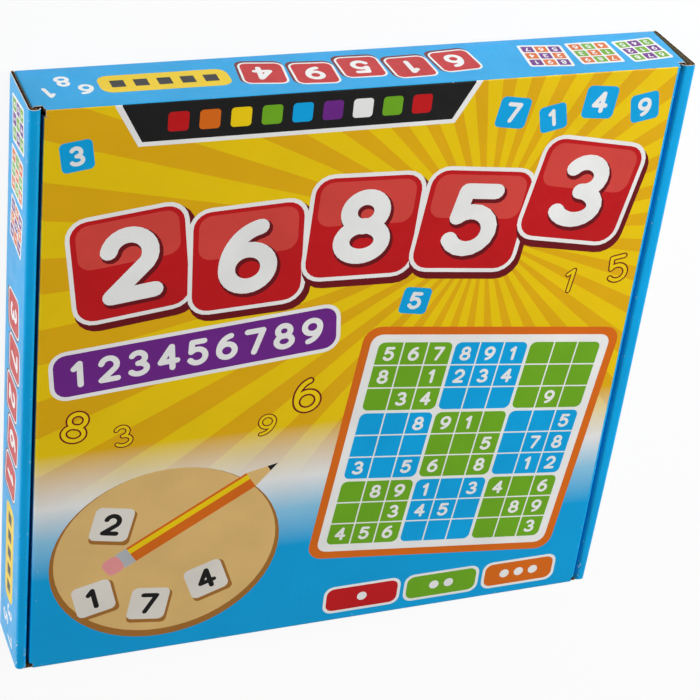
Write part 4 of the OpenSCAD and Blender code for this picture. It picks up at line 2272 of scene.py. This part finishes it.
    def creases(self) -> None:
        """Builds the hinge crease and the creases of the three flaps."""
        low, high = in_mm("lid_panel")
        _, back_high = in_mm("back_wall")
        thick = self.board.thick
        hinge = self.joint_at("lid_hinge")
        fold = EdgeFold(Edge.REAR, hinge.y, hinge.z, high.z - hinge.z)
        ends = (low.x - self.ear, high.x + self.ear)
        self.crease("hinge_crease", fold, 0, ends, hinge.z - back_high.z, "carton")
        tuck = self.joint_at("tuck_flap_fold")
        fold = EdgeFold(Edge.FRONT, -tuck.y, tuck.z, thick)
        ends = self.width_at("tuck_flap", Axis.X, tuck.z)
        self.crease("tuck_crease", fold, low.y - tuck.y, ends, 0, "tuck_flap")
        for side in Side:
            node = f"{side.word}_dust_flap"
            axis = self.joint_at(f"{node}_fold")
            fold = EdgeFold(Edge[side.name], abs(axis.x), axis.z, thick)
            ends = self.width_at(node, Axis.Y, axis.z)
            self.crease(f"{side.word}_dust_crease", fold, abs(axis.x) - high.x, ends, 0, node)

    def build(self) -> None:
        """Builds the lid, its flaps and its creases."""
        self.panel()
        self.flaps()
        self.creases()


@dataclass
class WoodWork(Assembly):
    """Wooden CAD nodes with sanded edges."""

    edge_round: float = 0.35
    edge_steps: int = 2
    edge_angle: float = 40.0
    weld: float = 0.01

    def soften(self, node: str, finish: WoodFinish) -> None:
        """Rounds the edges of a wooden CAD node and gives it its finish.

        Args:
            node: The node.
            finish: Its finish.
        """
        piece = self.dress(node, finish)
        weld = piece.modifiers.new("weld", "WELD")
        weld.merge_threshold = self.weld * MM
        bevel = piece.modifiers.new("soft_edges", "BEVEL")
        bevel.width = self.edge_round * MM
        bevel.segments = self.edge_steps
        bevel.limit_method = "ANGLE"
        bevel.angle_limit = math.radians(self.edge_angle)
        bevel.harden_normals = False


@dataclass
class GameBoard(WoodWork):
    """The wooden board: its base, the mitred rails and the dividers between the pockets."""

    ply: tuple[str, str] = ("d8b27c", "b98c57")
    beech: tuple[str, str] = ("d9ab72", "b07c45")
    strip: tuple[str, str] = ("d2a468", "a8763f")
    ply_burn: float = 0.6

    def build(self) -> None:
        """Dresses every piece of the board."""
        self.soften("board_base", WoodFinish("base_ply", Grain.ALONG_X, *self.ply, self.ply_burn))
        for node in ("front_rail", "back_rail"):
            self.soften(node, WoodFinish("rail_beech_x", Grain.ALONG_X, *self.beech))
        for node in ("left_rail", "right_rail"):
            self.soften(node, WoodFinish("rail_beech_y", Grain.ALONG_Y, *self.beech))
        self.soften("row_dividers", WoodFinish("divider_x", Grain.ALONG_X, *self.strip))
        self.soften("column_dividers", WoodFinish("divider_y", Grain.ALONG_Y, *self.strip))


@dataclass
class NumberTiles(WoodWork):
    """The loose wooden tiles of one digit, with the digit painted on each."""

    edge_round: float = 0.4
    digit: int = 1
    paint_proud: float = 0.06
    paint_sunk: float = 0.2
    digit_share: float = 0.66
    digit_weight: float = 0.17
    birch: tuple[str, str] = ("ecd0a2", "cfa36c")
    birch_burn: float = 0.75
    tone_pitch: float = 28.0

    @property
    def node(self) -> str:
        """The tiles' CAD node, which is also their body."""
        return f"number_{self.digit}_tiles"

    def tops(self) -> list[tuple[Vector, Vector]]:
        """Finds the top face of each tile, of which every column of the solved grid holds one.

        Returns:
            The lowest and highest corner of each tile's top face.
        """
        corners = sorted(self.corners(self.node), key=lambda corner: corner.x)
        share = len(corners) // DIGITS
        boxes: list[tuple[Vector, Vector]] = []
        for start in range(0, len(corners), share):
            places = list(zip(*corners[start : start + share]))
            low, high = (Vector([pick(along) for along in places]) for pick in (min, max))
            boxes.append((Vector((low.x, low.y, high.z)), high))
        return boxes

    def build(self) -> None:
        """Dresses the tiles and paints their digits."""
        birch = WoodFinish("tile_birch", Grain.ALONG_Y, *self.birch, self.birch_burn, self.tone_pitch)
        self.soften(self.node, birch)
        paint = TilePaintFinish().material()
        depths = (-self.paint_proud, self.paint_sunk)
        shell = Shell()
        for low, high in self.tops():
            half = (high.x - low.x) / 2
            fold = FlatFold((low + high) / 2, Vector((1, 0, 0)), Vector((0, 1, 0)))
            sheet = PrintSheet(rectangle(-half, -half, half, half), Ink.PAPER)
            sheet.digit(self.digit, Spot(0, 0), 2 * half * self.digit_share, Ink.BLACK, self.digit_weight)
            shell.skin(sheet.cut().only(Ink.BLACK), fold, depths, lambda _: paint, paint, paint)
        shell.ride(f"painted_{self.digit}_digits", self.node, "tile_wood")


@dataclass(frozen=True)
class Lamp:
    """A square soft lamp that faces the carton: its place and side in metres, and its power in watts."""

    name: str
    spot: tuple[float, float, float]
    side: float
    power: float
    mirrored: bool = False

    def hang(self) -> None:
        """Hangs the lamp, which the gloss of the print shows only if it is mirrored."""
        light = bpy.data.lights.new(self.name, "AREA")
        light.size = self.side
        light.energy = self.power
        lamp = bpy.data.objects.new(self.name, light)
        lamp.location = self.spot
        lamp.visible_glossy = self.mirrored
        lamp.rotation_euler = (-Vector(self.spot)).to_track_quat("-Z", "Y").to_euler()
        bpy.context.scene.collection.objects.link(lamp)


@dataclass(frozen=True)
class Studio:
    """The floor, the lamps and the camera, in metres."""

    lamps: tuple[Lamp, ...] = (
        Lamp("key_lamp", (0.8, 0.35, 0.65), side=0.6, power=8.8, mirrored=True),
        Lamp("side_lamp", (-1.3, 0.1, 0.2), side=0.36, power=9.5),
        Lamp("back_lamp", (0.2, 1.3, 0.35), side=0.8, power=6.0),
        Lamp("front_lamp", (0.3, -1.4, 0.6), side=1.0, power=4.5),
    )
    camera_spot: tuple[float, float, float] = (-0.3255, 0.539, 0.76822)
    camera_aim: tuple[float, float, float] = (0.00085, 0.0168, 0.037)
    camera_roll: float = -7.18
    lens: float = 107.97
    floor_side: float = 60.0
    floor_drop: float = 0.0004
    world_level: float = 0.15

    def floor(self) -> None:
        """Lays the pale floor."""
        half = self.floor_side / 2
        mesh = bpy.data.meshes.new("studio_floor")
        corners = [(*corner, -self.floor_drop) for corner in rectangle(-half, -half, half, half)]
        mesh.from_pydata(corners, [], [range(len(corners))])
        mesh.materials.append(FloorFinish().material())
        plane = bpy.data.objects.new("studio_floor", mesh)
        bpy.context.scene.collection.objects.link(plane)

    def world(self) -> None:
        """Fills the room with plain light."""
        world = bpy.data.worlds.new("studio_room")
        world.use_nodes = True
        background = world.node_tree.nodes["Background"]
        background.inputs["Color"].default_value = linear("ffffff")
        background.inputs["Strength"].default_value = self.world_level
        bpy.context.scene.world = world

    def camera(self) -> None:
        """Sets the camera at the photograph's viewing angle."""
        spot = Vector(self.camera_spot)
        forward = (Vector(self.camera_aim) - spot).normalized()
        level = Vector((0, 1, 0)) - forward * forward.y
        up = Quaternion(forward, math.radians(self.camera_roll)) @ level.normalized()
        turned = Matrix((forward.cross(up), up, -forward)).transposed()
        lens = bpy.data.cameras.new("studio_camera")
        lens.lens = self.lens
        camera = bpy.data.objects.new("studio_camera", lens)
        camera.matrix_world = Matrix.Translation(spot) @ turned.to_4x4()
        bpy.context.scene.collection.objects.link(camera)
        bpy.context.scene.camera = camera

    def build(self) -> None:
        """Sets up the whole studio."""
        self.floor()
        for lamp in self.lamps:
            lamp.hang()
        self.world()
        self.camera()
        bpy.context.scene.view_settings.view_transform = "Standard"


def main() -> None:
    """Builds the dressed carton in its studio."""
    logging.basicConfig(level=logging.INFO, format="%(message)s")
    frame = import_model()
    lid_low, lid_high = in_mm("lid_panel")
    board = Corrugated(lid_high.z - lid_low.z)
    CartonTray(frame, board).build()
    CartonLid(frame, board).build()
    GameBoard(frame).build()
    for digit in range(1, DIGITS + 1):
        NumberTiles(frame, digit=digit).build()
    Studio().build()


if __name__ == "__main__":
    main()
